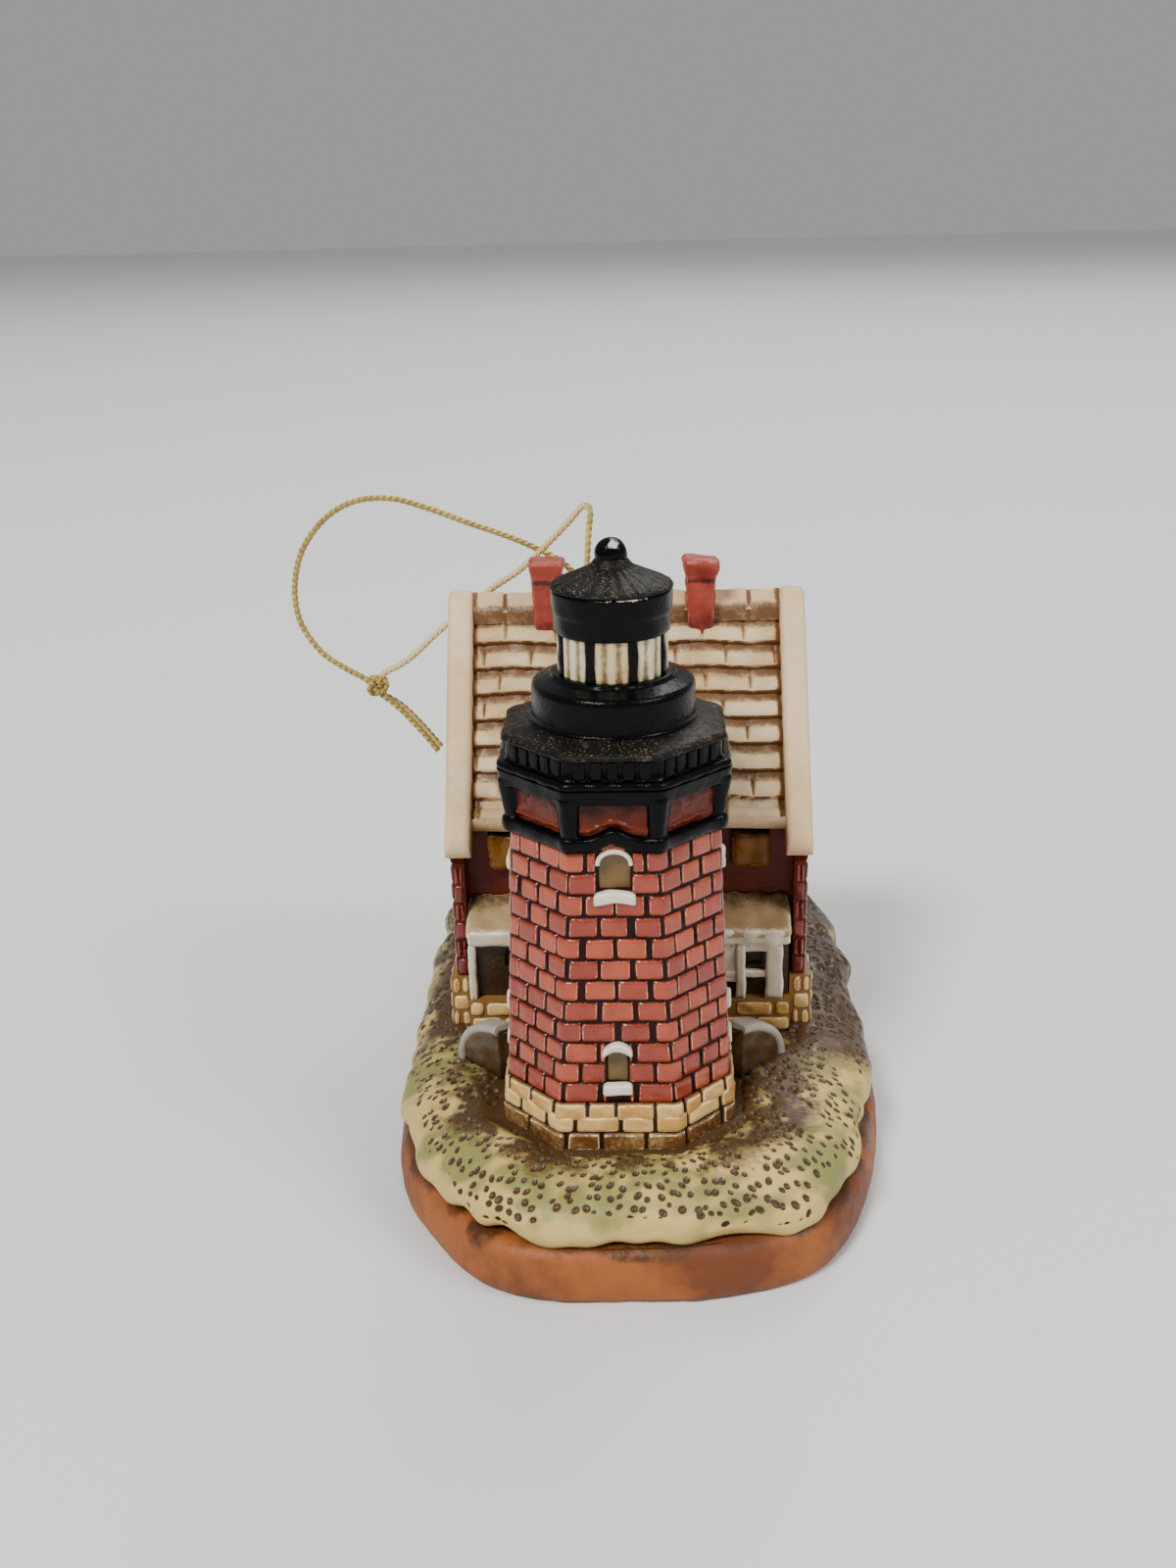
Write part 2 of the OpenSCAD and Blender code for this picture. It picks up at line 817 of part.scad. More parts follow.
// Curved cheek walls that run out and back from the tower's sides
step_thickness = 2;
coping_depth = 0.9;
coping_overhang = 0.2;
step_height = 6.6;
step_length = 8.6;
step_angle = 47;
step_gap = 0.25;

// A quarter ellipse from a high inner end down to a low outer end
module cheek_outline(length, height) {
    steps = 12;
    arc = [for (i = [0:steps]) [length * sin(90 * i / steps), height * cos(90 * i / steps)]];
    polygon(concat([[0, 0]], arc));
}

module at_steps(side) {
    start = [tower_x + side * (tower_foundation_width / 2 + 0.6), tower_y - 0.4];
    translate([start.x, start.y, ground_height])
        mirror([side > 0 ? 0 : 1, 0, 0])
            rotate([0, 0, step_angle])
                children();
}

module step_wall(side) {
    color("saddlebrown") difference() {
        at_steps(side)
            translate([0, step_thickness, 0])
                rotate([90, 0, 0])
                    linear_extrude(step_thickness)
                        cheek_outline(step_length - coping_depth, step_height - coping_depth);
        tower_clearance(step_gap);
    }
}

module step_coping(side) {
    color("lightgray") difference() {
        at_steps(side)
            translate([0, step_thickness + coping_overhang, 0])
                rotate([90, 0, 0])
                    linear_extrude(step_thickness + 2 * coping_overhang)
                        difference() {
                            cheek_outline(step_length, step_height);
                            cheek_outline(step_length - coping_depth, step_height - coping_depth);
                        }
        tower_clearance(step_gap);
    }
}

module step_wall_left() {
    step_wall(-1);
}

module step_wall_right() {
    step_wall(1);
}

module step_coping_left() {
    step_coping(-1);
}

module step_coping_right() {
    step_coping(1);
}

// ---------------------------------------------------------------- cord

// A point on the smooth curve through the route, t running from 0 to its last index
function route_at(route, t) =
    let (last = len(route) - 1, k = min(floor(t), last - 1), u = t - k,
         a = route[max(k - 1, 0)], b = route[k], c = route[k + 1], d = route[min(k + 2, last)])
    0.5 * (2 * b + (c - a) * u + (2 * a - 5 * b + 4 * c - d) * u * u + (3 * b - a - 3 * c + d) * u * u * u);

function unit(v) = v / norm(v);

// Ring of the tube around a point of its centre line, square to its heading
function tube_ring(center, heading, radius) =
    let (side = unit(cross(heading, abs(heading.z) < 0.8 ? [0, 0, 1] : [0, 1, 0])),
         rise = cross(side, heading))
    [for (i = [0:cord_sides - 1]) let (angle = 360 * i / cord_sides)
        center + radius * (cos(angle) * side + sin(angle) * rise)];

function route_length(route) =
    let (pieces = [for (k = [1:len(route) - 1]) norm(route[k] - route[k - 1])]) [for (p = pieces) 1] * pieces;

module cord_tube(route) {
    last = len(route) - 1;
    rings = ceil(route_length(route) / ring_spacing);
    centers = [for (i = [0:rings]) route_at(route, last * i / rings)];
    loft([
        for (i = [0:rings])
            let (heading = unit(centers[min(i + 1, rings)] - centers[max(i - 1, 0)]))
            tube_ring(centers[i], heading, cord_diameter / 2)
    ]);
}

module cord_front_strand() {
    color("khaki") cord_tube(front_route);
}

module cord_back_strand() {
    color("khaki") cord_tube(back_route);
}

module cord_knot() {
    color("khaki") translate(knot_center) sphere(r = knot_radius, $fn = 32);
}

plinth();
grass_mound();
tower_foundation();
tower_shaft();
tower_window_panes();
tower_window_lintels();
tower_window_sills();
corbel_frame();
corbel_panels();
gallery_deck();
gallery_parapet();
gallery_balusters();
gallery_rail();
watch_room_drum();
lantern_glazing();
lantern_mullions();
lantern_eave_band();
lantern_roof();
finial_ball();
house_foundation();
house_walls();
house_window_panes();
house_window_trims();
front_windows();
roof_front_slope();
roof_back_slope();
roof_ridge();
gable_board_left();
gable_board_right();
chimney_left();
chimney_right();
porch_base();
porch_wall();
porch_posts();
porch_rails();
porch_beam();
porch_roof();
step_wall_left();
step_wall_right();
step_coping_left();
step_coping_right();
cord_front_strand();
cord_back_strand();
cord_knot();
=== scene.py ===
"""Looks of the hanging lighthouse ornament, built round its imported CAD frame.

Blender works in metres. Shapes are worked out here in millimetres, in the frame's own axes, and scaled by
MM when their piece is made.
"""
import math

import bpy
import numpy as np
from mathutils import Matrix, Vector


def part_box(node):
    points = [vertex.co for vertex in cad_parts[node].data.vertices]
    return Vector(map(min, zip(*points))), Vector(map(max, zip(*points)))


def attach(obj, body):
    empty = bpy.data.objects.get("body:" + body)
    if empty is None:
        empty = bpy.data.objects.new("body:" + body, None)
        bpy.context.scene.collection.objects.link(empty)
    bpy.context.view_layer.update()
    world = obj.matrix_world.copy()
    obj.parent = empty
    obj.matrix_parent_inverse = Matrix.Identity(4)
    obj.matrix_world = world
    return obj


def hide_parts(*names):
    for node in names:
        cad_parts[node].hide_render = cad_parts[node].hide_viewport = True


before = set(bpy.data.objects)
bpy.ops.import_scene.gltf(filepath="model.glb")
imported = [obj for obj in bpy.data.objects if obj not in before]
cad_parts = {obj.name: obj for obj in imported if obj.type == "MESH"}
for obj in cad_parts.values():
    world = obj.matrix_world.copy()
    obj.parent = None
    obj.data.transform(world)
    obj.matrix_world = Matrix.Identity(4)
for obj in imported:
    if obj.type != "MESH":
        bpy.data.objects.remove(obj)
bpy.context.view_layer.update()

MM = 0.001


def box_mm(node):
    """Lowest and highest corner of a CAD node, in millimetres."""
    low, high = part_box(node)
    return np.array(low) / MM, np.array(high) / MM


def heights_mm(node):
    """Lowest and highest level of a CAD node, in millimetres."""
    low, high = box_mm(node)
    return low[2], high[2]


def width_mm(node):
    """Size of a CAD node along x, in millimetres."""
    low, high = box_mm(node)
    return high[0] - low[0]


# ---------------------------------------------------------------- camera, floor and light

# The camera stands in front of the tower and looks down on it a little
CAMERA_PLACE = Vector((1.7, -179.7, 109.0)) * MM
CAMERA_YAW = math.radians(2.36)
CAMERA_PITCH = math.radians(20.57)
CAMERA_ROLL = math.radians(1.43)
CAMERA_LENS = 36.54

# The floor ends where its light has faded to the backdrop's
FLOOR_SIZE = 6.6
FLOOR_COLOR = (0.76, 0.75, 0.74, 1)
FLOOR_ROUGHNESS = 0.7
SKY_COLOR = (0.86, 0.88, 0.9, 1)
SKY_STRENGTH = 0.4
LIGHT_TARGET = Vector((0, 0, 0.03))
# Place, size in metres and power in watts of each square light
LIGHTS = {
    "key_light": ((-0.66, -1.02, 1.5), 0.48, 35),
    "fill_light": ((1.2, -0.6, 1.2), 0.66, 14),
    "back_light": ((0.3, 1.2, 1.35), 0.9, 14),
}


def place_camera():
    """The camera that sees the front, from its place and its yaw, pitch and roll."""
    forward = Vector((
        -math.sin(CAMERA_YAW) * math.cos(CAMERA_PITCH),
        math.cos(CAMERA_YAW) * math.cos(CAMERA_PITCH),
        -math.sin(CAMERA_PITCH),
    ))
    level = Vector((math.cos(CAMERA_YAW), math.sin(CAMERA_YAW), 0))
    above = level.cross(forward)
    across = level * math.cos(CAMERA_ROLL) - above * math.sin(CAMERA_ROLL)
    upward = level * math.sin(CAMERA_ROLL) + above * math.cos(CAMERA_ROLL)
    turn = Matrix((across, upward, -forward)).transposed()
    camera = bpy.data.cameras.new("camera")
    camera.lens = CAMERA_LENS
    camera.clip_start = 0.01
    holder = bpy.data.objects.new("camera", camera)
    holder.matrix_world = Matrix.Translation(CAMERA_PLACE) @ turn.to_4x4()
    bpy.context.scene.collection.objects.link(holder)
    bpy.context.scene.camera = holder


def place_light(name, place, size, watts):
    """A square soft light that faces the middle of the object."""
    light = bpy.data.lights.new(name, "AREA")
    light.size = size
    light.energy = watts
    holder = bpy.data.objects.new(name, light)
    holder.location = place
    holder.rotation_euler = (LIGHT_TARGET - holder.location).to_track_quat("-Z", "Y").to_euler()
    bpy.context.scene.collection.objects.link(holder)


def make_floor():
    """A plain pale floor under the object."""
    half = FLOOR_SIZE / 2
    corners = [(-half, -half, 0), (half, -half, 0), (half, half, 0), (-half, half, 0)]
    mesh = bpy.data.meshes.new("floor")
    mesh.from_pydata(corners, [], [(0, 1, 2, 3)])
    material = bpy.data.materials.new("floor")
    material.use_nodes = True
    shader = material.node_tree.nodes["Principled BSDF"]
    shader.inputs["Base Color"].default_value = FLOOR_COLOR
    shader.inputs["Roughness"].default_value = FLOOR_ROUGHNESS
    mesh.materials.append(material)
    floor = bpy.data.objects.new("floor", mesh)
    bpy.context.scene.collection.objects.link(floor)


def light_studio():
    """An even pale backdrop and three soft lights."""
    world = bpy.data.worlds.new("studio")
    world.use_nodes = True
    background = world.node_tree.nodes["Background"]
    background.inputs["Color"].default_value = SKY_COLOR
    background.inputs["Strength"].default_value = SKY_STRENGTH
    bpy.context.scene.world = world
    for name, (place, size, watts) in LIGHTS.items():
        place_light(name, place, size, watts)


# ---------------------------------------------------------------- paint

def rgb(red, green, blue):
    """A linear colour from its eight-bit display values."""
    values = np.array([red, green, blue]) / 255
    linear = np.where(values <= 0.04045, values / 12.92, ((values + 0.055) / 1.055) ** 2.4)
    return (*linear, 1)


COAT_ROUGHNESS = 0.12


class Paint:
    """Node graph of one hand-painted, partly glazed ceramic finish.

    The pieces carry three masks on their points: tone, a shade for each brick or stone; the wash mask, where
    thinned dark glaze has run into hollows and where shade is painted under overhangs and in corners; and the
    wear mask, where edges have rubbed pale and where a sheen is painted along the cord's plies.
    """

    def __init__(self, name, roughness, coat, shine):
        self.material = bpy.data.materials.new(name)
        self.material.use_nodes = True
        self.tree = self.material.node_tree
        self.shader = self.tree.nodes["Principled BSDF"]
        self.shader.inputs["Roughness"].default_value = roughness
        self.shader.inputs["Coat Weight"].default_value = coat
        self.shader.inputs["Specular IOR Level"].default_value = shine
        self.shader.inputs["Coat Roughness"].default_value = COAT_ROUGHNESS
        self.place = self.tree.nodes.new("ShaderNodeTexCoord").outputs["Object"]

    def join(self, value, socket):
        """Feeds a socket from another socket, or sets it to a plain value."""
        if isinstance(value, bpy.types.NodeSocket):
            self.tree.links.new(value, socket)
        else:
            socket.default_value = value

    def noise(self, size_mm, detail=3.0, stretch=(1, 1, 1)):
        """Noise between 0 and 1 with features of about that size."""
        place = self.place
        if stretch != (1, 1, 1):
            mapping = self.tree.nodes.new("ShaderNodeMapping")
            mapping.inputs["Scale"].default_value = stretch
            self.tree.links.new(place, mapping.inputs["Vector"])
            place = mapping.outputs["Vector"]
        node = self.tree.nodes.new("ShaderNodeTexNoise")
        node.inputs["Scale"].default_value = 1 / (size_mm * MM)
        node.inputs["Detail"].default_value = detail
        self.tree.links.new(place, node.inputs["Vector"])
        return node.outputs["Fac"]

    def mask(self, name):
        """One of the masks on the pieces' points."""
        node = self.tree.nodes.new("ShaderNodeAttribute")
        node.attribute_name = name
        return node.outputs["Fac"]

    def sum(self, first, second, share=1.0):
        """first + share * second"""
        node = self.tree.nodes.new("ShaderNodeMath")
        node.operation = "MULTIPLY_ADD"
        self.join(second, node.inputs[0])
        node.inputs[1].default_value = share
        self.join(first, node.inputs[2])
        return node.outputs[0]

    def times(self, first, second):
        """first * second"""
        node = self.tree.nodes.new("ShaderNodeMath")
        node.operation = "MULTIPLY"
        self.join(first, node.inputs[0])
        self.join(second, node.inputs[1])
        return node.outputs[0]

    def step(self, value, low, high, bottom=0.0, top=1.0):
        """A smooth step from bottom to top as value goes from low to high."""
        node = self.tree.nodes.new("ShaderNodeMapRange")
        node.interpolation_type = "SMOOTHSTEP"
        self.join(value, node.inputs["Value"])
        node.inputs["From Min"].default_value = low
        node.inputs["From Max"].default_value = high
        node.inputs["To Min"].default_value = bottom
        node.inputs["To Max"].default_value = top
        return node.outputs["Result"]

    def mix(self, share, first, second):
        """Colour that goes from first to second as share goes from 0 to 1."""
        node = self.tree.nodes.new("ShaderNodeMix")
        node.data_type = "RGBA"
        first_input, second_input = (socket for socket in node.inputs if socket.type == "RGBA")
        self.join(share, node.inputs["Factor"])
        self.join(first, first_input)
        self.join(second, second_input)
        return next(socket for socket in node.outputs if socket.type == "RGBA")

    def upward(self):
        """1 on surfaces that face up, 0 on upright ones."""
        normal = self.tree.nodes.new("ShaderNodeNewGeometry").outputs["Normal"]
        parts = self.tree.nodes.new("ShaderNodeSeparateXYZ")
        self.tree.links.new(normal, parts.inputs["Vector"])
        return self.step(parts.outputs["Z"], 0.25, 0.8)

    def finish(self, color, roughness, height, bump_mm):
        """Joins colour, roughness and a height between 0 and 1 to the shader, and returns the material."""
        self.join(color, self.shader.inputs["Base Color"])
        self.join(roughness, self.shader.inputs["Roughness"])
        bump = self.tree.nodes.new("ShaderNodeBump")
        bump.inputs["Distance"].default_value = bump_mm * MM
        self.join(height, bump.inputs["Height"])
        self.tree.links.new(bump.outputs["Normal"], self.shader.inputs["Normal"])
        return self.material


DUST = rgb(104, 88, 66)
CLOUD_MM = 2.2
SPECK_MM = 0.22


def painted(name, base, shade, wash, wear, gloss=0.4, coat=0.0, shine=0.4, dust=0.0, wash_reach=0.5,
            wear_reach=0.5, grain_mm=0.5, bump_mm=0.06, wash_gloss=0.3):
    """A ceramic paint: base broken up with shade, wash in its hollows with painted shade under overhangs,
    wear on its edges with a painted sheen on the cord, dust on top.

    The colours are eight-bit display values. gloss is the roughness of the paint and the wash gloss that of
    its wash and painted shade, shine is its specular level, and the reaches say how far the wash with its
    painted shade and the wear with its painted sheen spread.
    """
    base, shade, wash, wear = (rgb(*color) for color in (base, shade, wash, wear))
    paint = Paint(name, gloss, coat, shine)
    cloud = paint.noise(CLOUD_MM)
    grain = paint.noise(grain_mm, 4)
    speck = paint.noise(SPECK_MM, 2)
    color = paint.mix(paint.step(paint.sum(paint.mask("tone"), cloud), 0.55, 1.35), base, shade)
    # The wash colour goes where dark glaze has pooled and where the pieces paint shade.
    washed = paint.sum(paint.sum(paint.mask("wash"), cloud, 0.5), grain, 0.45)
    washed = paint.step(washed, 1.2 - wash_reach, 1.75 - wash_reach)
    color = paint.mix(washed, color, wash)
    # The wear colour goes on rubbed edges and chips, and on the painted sheen along the cord's plies.
    wear_and_sheen_share = paint.step(paint.sum(paint.mask("wear"), grain, 1.2), 1.65 - wear_reach, 1.9 - wear_reach)
    color = paint.mix(wear_and_sheen_share, color, wear)
    roughness = paint.step(grain, 0.2, 0.8, gloss - 0.08, gloss + 0.12)
    roughness = paint.sum(roughness, washed, wash_gloss - gloss)
    if dust:
        bare = 1.0 - 0.32 * dust
        settled = paint.step(paint.sum(speck, cloud, 0.3), bare, bare + 0.1)
        settled = paint.times(paint.upward(), settled)
        color = paint.mix(settled, color, DUST)
        roughness = paint.sum(roughness, settled, 0.35)
    height = paint.sum(grain, speck, 0.3)
    return paint.finish(color, roughness, height, bump_mm)


PAINTS = {
    "terracotta": painted("terracotta_rim", (154, 86, 35), (106, 54, 21), (70, 38, 18),
                          (186, 118, 60), gloss=0.58, wash_reach=0.4, wear_reach=0.3),
    "grass": painted("grass_glaze", (136, 132, 72), (204, 176, 104), (72, 50, 25),
                     (210, 186, 122), gloss=0.5, wash_reach=0.5, wear_reach=0.2, wash_gloss=0.36),
    "stone": painted("stone_glaze", (230, 190, 118), (200, 148, 78), (96, 58, 24),
                     (236, 216, 164), gloss=0.38, coat=0.2, wash_reach=0.42),
    "joint": painted("stone_joint_glaze", (54, 32, 15), (38, 22, 11), (26, 15, 8),
                     (84, 54, 28), gloss=0.26, coat=0.2, wear_reach=0.1, wash_gloss=0.2),
    "ledge": painted("foundation_wash", (140, 100, 50), (92, 60, 28), (54, 34, 16),
                     (190, 150, 90), gloss=0.3, coat=0.2, wear_reach=0.1, wash_gloss=0.2),
    "brick": painted("brick_glaze", (176, 76, 46), (138, 46, 28), (66, 22, 13),
                     (224, 148, 118), gloss=0.26, coat=0.4, wash_reach=0.5, wear_reach=0.38, wash_gloss=0.2),
    "wall_brick": painted("wall_brick_glaze", (140, 46, 34), (104, 28, 22), (44, 14, 11),
                          (180, 96, 76), gloss=0.3, coat=0.3, wash_reach=0.5, wear_reach=0.35,
                          wash_gloss=0.2),
    "mortar": painted("mortar_glaze", (46, 13, 8), (28, 8, 5), (18, 5, 3),
                      (70, 26, 16), gloss=0.3, shine=0.15, wear_reach=0.1, grain_mm=0.9, wash_gloss=0.25),
    "wall": painted("wall_glaze", (98, 36, 14), (66, 23, 10), (34, 13, 6),
                    (140, 62, 30), gloss=0.2, shine=0.12, wear_reach=0.1, grain_mm=0.9, wash_gloss=0.18),
    "brown": painted("brown_glaze", (132, 88, 26), (96, 58, 16), (40, 22, 9),
                     (182, 138, 62), gloss=0.16, shine=0.16, wash_reach=0.5, wear_reach=0.2,
                     wash_gloss=0.14),
    "dark_brown": painted("dark_brown_glaze", (56, 38, 20), (84, 58, 28), (24, 16, 9),
                          (110, 82, 46), gloss=0.3, coat=0.15, wash_reach=0.4, wear_reach=0.1,
                          wash_gloss=0.2),
    "olive": painted("window_glaze", (86, 70, 32), (120, 86, 34), (38, 28, 12),
                     (150, 120, 60), gloss=0.25, coat=0.3, wash_reach=0.45, wear_reach=0.2),
    "white": painted("white_paint", (226, 218, 196), (206, 192, 158), (104, 72, 40),
                     (238, 232, 218), gloss=0.4, coat=0.1, wash_reach=0.3),
    "black": painted("black_paint", (3, 3, 4), (6, 6, 7), (2, 2, 2),
                     (60, 58, 56), gloss=0.2, shine=0.11, dust=0.3, wash_reach=0.2, wear_reach=0.16,
                     wash_gloss=0.14),
    "chipped_black": painted("chipped_black_paint", (4, 4, 5), (8, 8, 8), (2, 2, 2),
                             (206, 200, 192), gloss=0.16, shine=0.1, wash_reach=0.3,
                             wear_reach=0.34, wash_gloss=0.12),
    "dusty_black": painted("dusty_black_paint", (8, 8, 8), (20, 17, 14), (4, 4, 4),
                           (74, 68, 60), gloss=0.45, shine=0.16, dust=0.8, wash_reach=0.3, wear_reach=0.2),
    "panel": painted("panel_glaze", (108, 44, 26), (74, 28, 17), (30, 11, 7),
                     (156, 82, 54), gloss=0.1, shine=0.16, wash_reach=0.5, wear_reach=0.2,
                     wash_gloss=0.12),
    "lantern": painted("lantern_paint", (222, 212, 174), (204, 188, 140), (116, 86, 46),
                       (232, 226, 204), gloss=0.42, wash_reach=0.56),
    "shingle": painted("shingle_paint", (218, 192, 150), (198, 164, 116), (108, 72, 38),
                       (236, 220, 192), gloss=0.5, wash_reach=0.52, wear_reach=0.35, wash_gloss=0.35),
    "board": painted("board_paint", (230, 198, 154), (212, 178, 132), (112, 78, 44),
                     (230, 216, 190), gloss=0.5, wash_reach=0.3),
    "chimney": painted("chimney_paint", (170, 72, 54), (136, 44, 34), (60, 16, 12),
                       (190, 92, 72), gloss=0.42, wash_reach=0.5, wear_reach=0.35),
    "tan": painted("porch_roof_paint", (186, 160, 116), (160, 130, 88), (72, 52, 28),
                   (206, 184, 146), gloss=0.55, dust=0.3, wash_reach=0.5),
    "coping": painted("coping_paint", (176, 170, 156), (150, 142, 124), (60, 44, 30),
                      (212, 208, 198), gloss=0.42, coat=0.1, wash_reach=0.4),
    "cord": painted("cord_yarn", (196, 172, 92), (154, 130, 66), (84, 70, 42),
                    (232, 216, 150), gloss=0.34, wash_reach=0.5, wear_reach=0.5, grain_mm=0.2,
                    bump_mm=0.03),
}


# ---------------------------------------------------------------- mesh building

MASKS = ("tone", "wash", "wear")
PATCH_ACROSS = np.array([0, 0.02, 0.06, 0.12, 0.22, 0.36, 0.46, 0.5, 0.54, 0.64, 0.78, 0.88, 0.94, 0.98, 1])
PATCH_UP = np.array([0, 0.04, 0.12, 0.25, 0.42, 0.58, 0.75, 0.88, 0.96, 1])


def ripple(points, size, seed, waves=9):
    """Smooth noise, mostly between -1 and 1, with features of about that size in millimetres.

    The seed picks the pattern, and nothing else hangs on its value.
    """
    rng = np.random.default_rng(seed)
    heading = rng.normal(size=(waves, 3))
    heading /= np.linalg.norm(heading, axis=1)[:, None]
    heading *= (math.pi / size * rng.uniform(0.6, 1.5, waves))[:, None]
    phase = rng.uniform(0, 2 * math.pi, waves)
    return np.sin(points @ heading.T + phase).sum(axis=-1) / math.sqrt(waves)


def bump(x, width):
    """A smooth hump of height 1 at x = 0."""
    return np.exp(-((x / width) ** 2))


def smooth_step(x, low, high):
    """A smooth step from 0 to 1 as x goes from low to high."""
    t = np.clip((x - low) / (high - low), 0, 1)
    return t * t * (3 - 2 * t)


def soften(corners, radius, steps=5):
    """The open line through corners, with its inner corners rounded."""
    corners = np.array(corners, float)
    t = np.linspace(0, 1, steps + 1)[:, None]
    line = [corners[:1]]
    for before, corner, after in zip(corners, corners[1:], corners[2:]):
        back = before - corner
        onward = after - corner
        back *= min(radius / np.linalg.norm(back), 0.5)
        onward *= min(radius / np.linalg.norm(onward), 0.5)
        line.append(corner + (1 - t) ** 2 * back + t ** 2 * onward)
    line.append(corners[-1:])
    return np.concatenate(line)


def unit(vectors):
    """The same directions with a length of 1."""
    return vectors / np.linalg.norm(vectors, axis=-1, keepdims=True)


def raised(flat, height):
    """Points from their places in plan and their heights."""
    return np.concatenate([flat, height[..., None]], axis=-1)


def refine(line, step):
    """The same line with points at most a step apart."""
    points = [line[:1]]
    for start, end in zip(line, line[1:]):
        count = max(1, math.ceil(np.linalg.norm(end - start) / step))
        points.append(start + (end - start) * (np.arange(1, count + 1) / count)[:, None])
    return np.concatenate(points)


def rounded_side(half, radius, step):
    """Places along one side of a rounded box, closer together over its rounded edges."""
    flat = half - radius
    edge = flat + radius * np.tan(np.radians([15, 30, 45]))
    middle = np.linspace(-flat, flat, max(1, round(2 * flat / step)) + 1)
    return np.concatenate([-edge[::-1], middle, edge])


class Shape:
    """The points, masks and faces of a piece while it is being built, in millimetres."""

    def __init__(self):
        self.points = []
        self.masks = []
        self.quads = []
        self.caps = []
        self.count = 0

    def add_points(self, points, tone=0.5, wash=0.0, wear=0.0):
        """Adds an array of points and returns their numbers in an array of the same form."""
        form = points.shape[:-1]
        self.points.append(points.reshape(-1, 3))
        masks = [np.broadcast_to(mask, form).reshape(-1) for mask in (tone, wash, wear)]
        self.masks.append(np.stack(masks, axis=1))
        numbers = self.count + np.arange(self.points[-1].shape[0]).reshape(form)
        self.count += numbers.size
        return numbers

    def add_grid(self, points, **masks):
        """Quads over points[row, column]; they face where columns' heading crossed with rows' points."""
        n = self.add_points(points, **masks)
        quads = np.stack([n[:-1, :-1], n[:-1, 1:], n[1:, 1:], n[1:, :-1]], axis=-1)
        self.quads.append(quads.reshape(-1, 4))
        return n

    def add_cap(self, ring):
        """One face through a ring of numbered points, anticlockwise as seen from outside."""
        self.caps.append(list(ring))

    def close_tube(self, n):
        """Caps on both ends of a grid of numbered points whose rows close on themselves."""
        self.add_cap(n[0, -2::-1])
        self.add_cap(n[-1, :-1])

    def close_back(self, n):
        """A cap over the back of an open grid of numbered points."""
        self.add_cap(np.concatenate([n[0, ::-1], n[1:, 0], n[-1, 1:], n[-2:0:-1, -1]]))

    def close_sides(self, n):
        """Caps on both sides of a grid of numbered points whose columns close on themselves."""
        self.add_cap(n[:, 0])
        self.add_cap(n[::-1, -1])

    def add_patch(self, across, up, place, unit=1.0, rise=0.3, sink=0.4, edge=0.6, rough=0.03, seed=0,
                  tone=0.5, wash=0.0, bend=None):
        """A brick, stone or tile with pillowed edges over a rectangle of a wall, closed at its back.

        place(across, up, out) gives its points, and unit is the length in mm of one step of across.
        """
        rows = up[0] + (up[1] - up[0]) * PATCH_UP
        columns = across[0] + (across[1] - across[0]) * PATCH_ACROSS
        v, u = np.meshgrid(rows, columns, indexing="ij")
        beside = np.clip(1 - np.minimum(u - across[0], across[1] - u) * unit / edge, 0, 1)
        over = np.clip(1 - np.minimum(v - up[0], up[1] - v) / edge, 0, 1)
        closeness = np.minimum(np.hypot(beside, over), 1)
        flat = np.stack([u * unit, v, np.full(u.shape, 3.7 * seed)], axis=-1)
        out = -sink + (rise + sink) * np.sqrt(1 - closeness ** 2)
        out += rough * ripple(flat, 1.3, 5) * (1 - closeness)
        u = u + 0.06 * ripple(flat, 2.5, 6) / unit
        v = v + 0.05 * ripple(flat, 2.5, 7)
        if bend is not None:
            out, v = bend(u, v, out)
        # Darker towards the edges: dark glaze running into the joints, with painted shade on the rounded
        # rims.
        n = self.add_grid(place(u, v, out), tone=tone, wash=np.maximum(closeness ** 2, wash),
                          wear=bump(closeness - 0.5, 0.2))
        self.close_back(n)

    def add_block(self, low, high, radius, place=None, step=0.6, rough=0.03, seed=0, tone=0.5, wash=0.0):
        """A box with rounded edges and a hand-made surface; place moves its points afterwards."""
        low = np.array(low, float)
        high = np.array(high, float)
        half = (high - low) / 2
        radius = min(radius, 0.98 * half.min())
        sides = [rounded_side(h, radius, step) for h in half]
        for axis in range(3):
            first, second = (axis + 1) % 3, (axis + 2) % 3
            for sign in (-1, 1):
                v, u = np.meshgrid(sides[second], sides[first][::sign], indexing="ij")
                flat = np.empty(u.shape + (3,))
                flat[..., axis] = sign * half[axis]
                flat[..., first] = u
                flat[..., second] = v
                core = np.clip(flat, radius - half, half - radius)
                away = unit(flat - core)
                edge = np.sort(np.abs(away), axis=-1)[..., 1] * math.sqrt(2)
                points = (low + high) / 2 + core + away * radius
                points = points + away * (rough * ripple(points, 1.6, seed))[..., None]
                drawn = wash(points) if callable(wash) else wash
                if place:
                    points = place(points)
                self.add_grid(points, tone=tone, wash=drawn, wear=0.9 * edge)

    def add_lathe(self, axis, profile, sides, relief=None, tone=0.5, wash=0.0, wear=0.0):
        """A turned solid round a vertical axis, from a profile of radius and height from its foot up.

        relief(angle, radius, height) gives how far out each point moves.
        """
        radius, angle = np.meshgrid(profile[:, 0], np.linspace(0, 2 * math.pi, sides + 1), indexing="ij")
        height = np.broadcast_to(profile[:, 1:2], radius.shape)
        if relief:
            radius = radius + relief(angle, radius, height)
        points = np.stack([axis[0] + radius * np.cos(angle), axis[1] + radius * np.sin(angle), height],
                          axis=-1)
        masks = [mask(angle, radius, height) if callable(mask) else mask for mask in (tone, wash, wear)]
        self.add_grid(points, tone=masks[0], wash=masks[1], wear=masks[2])

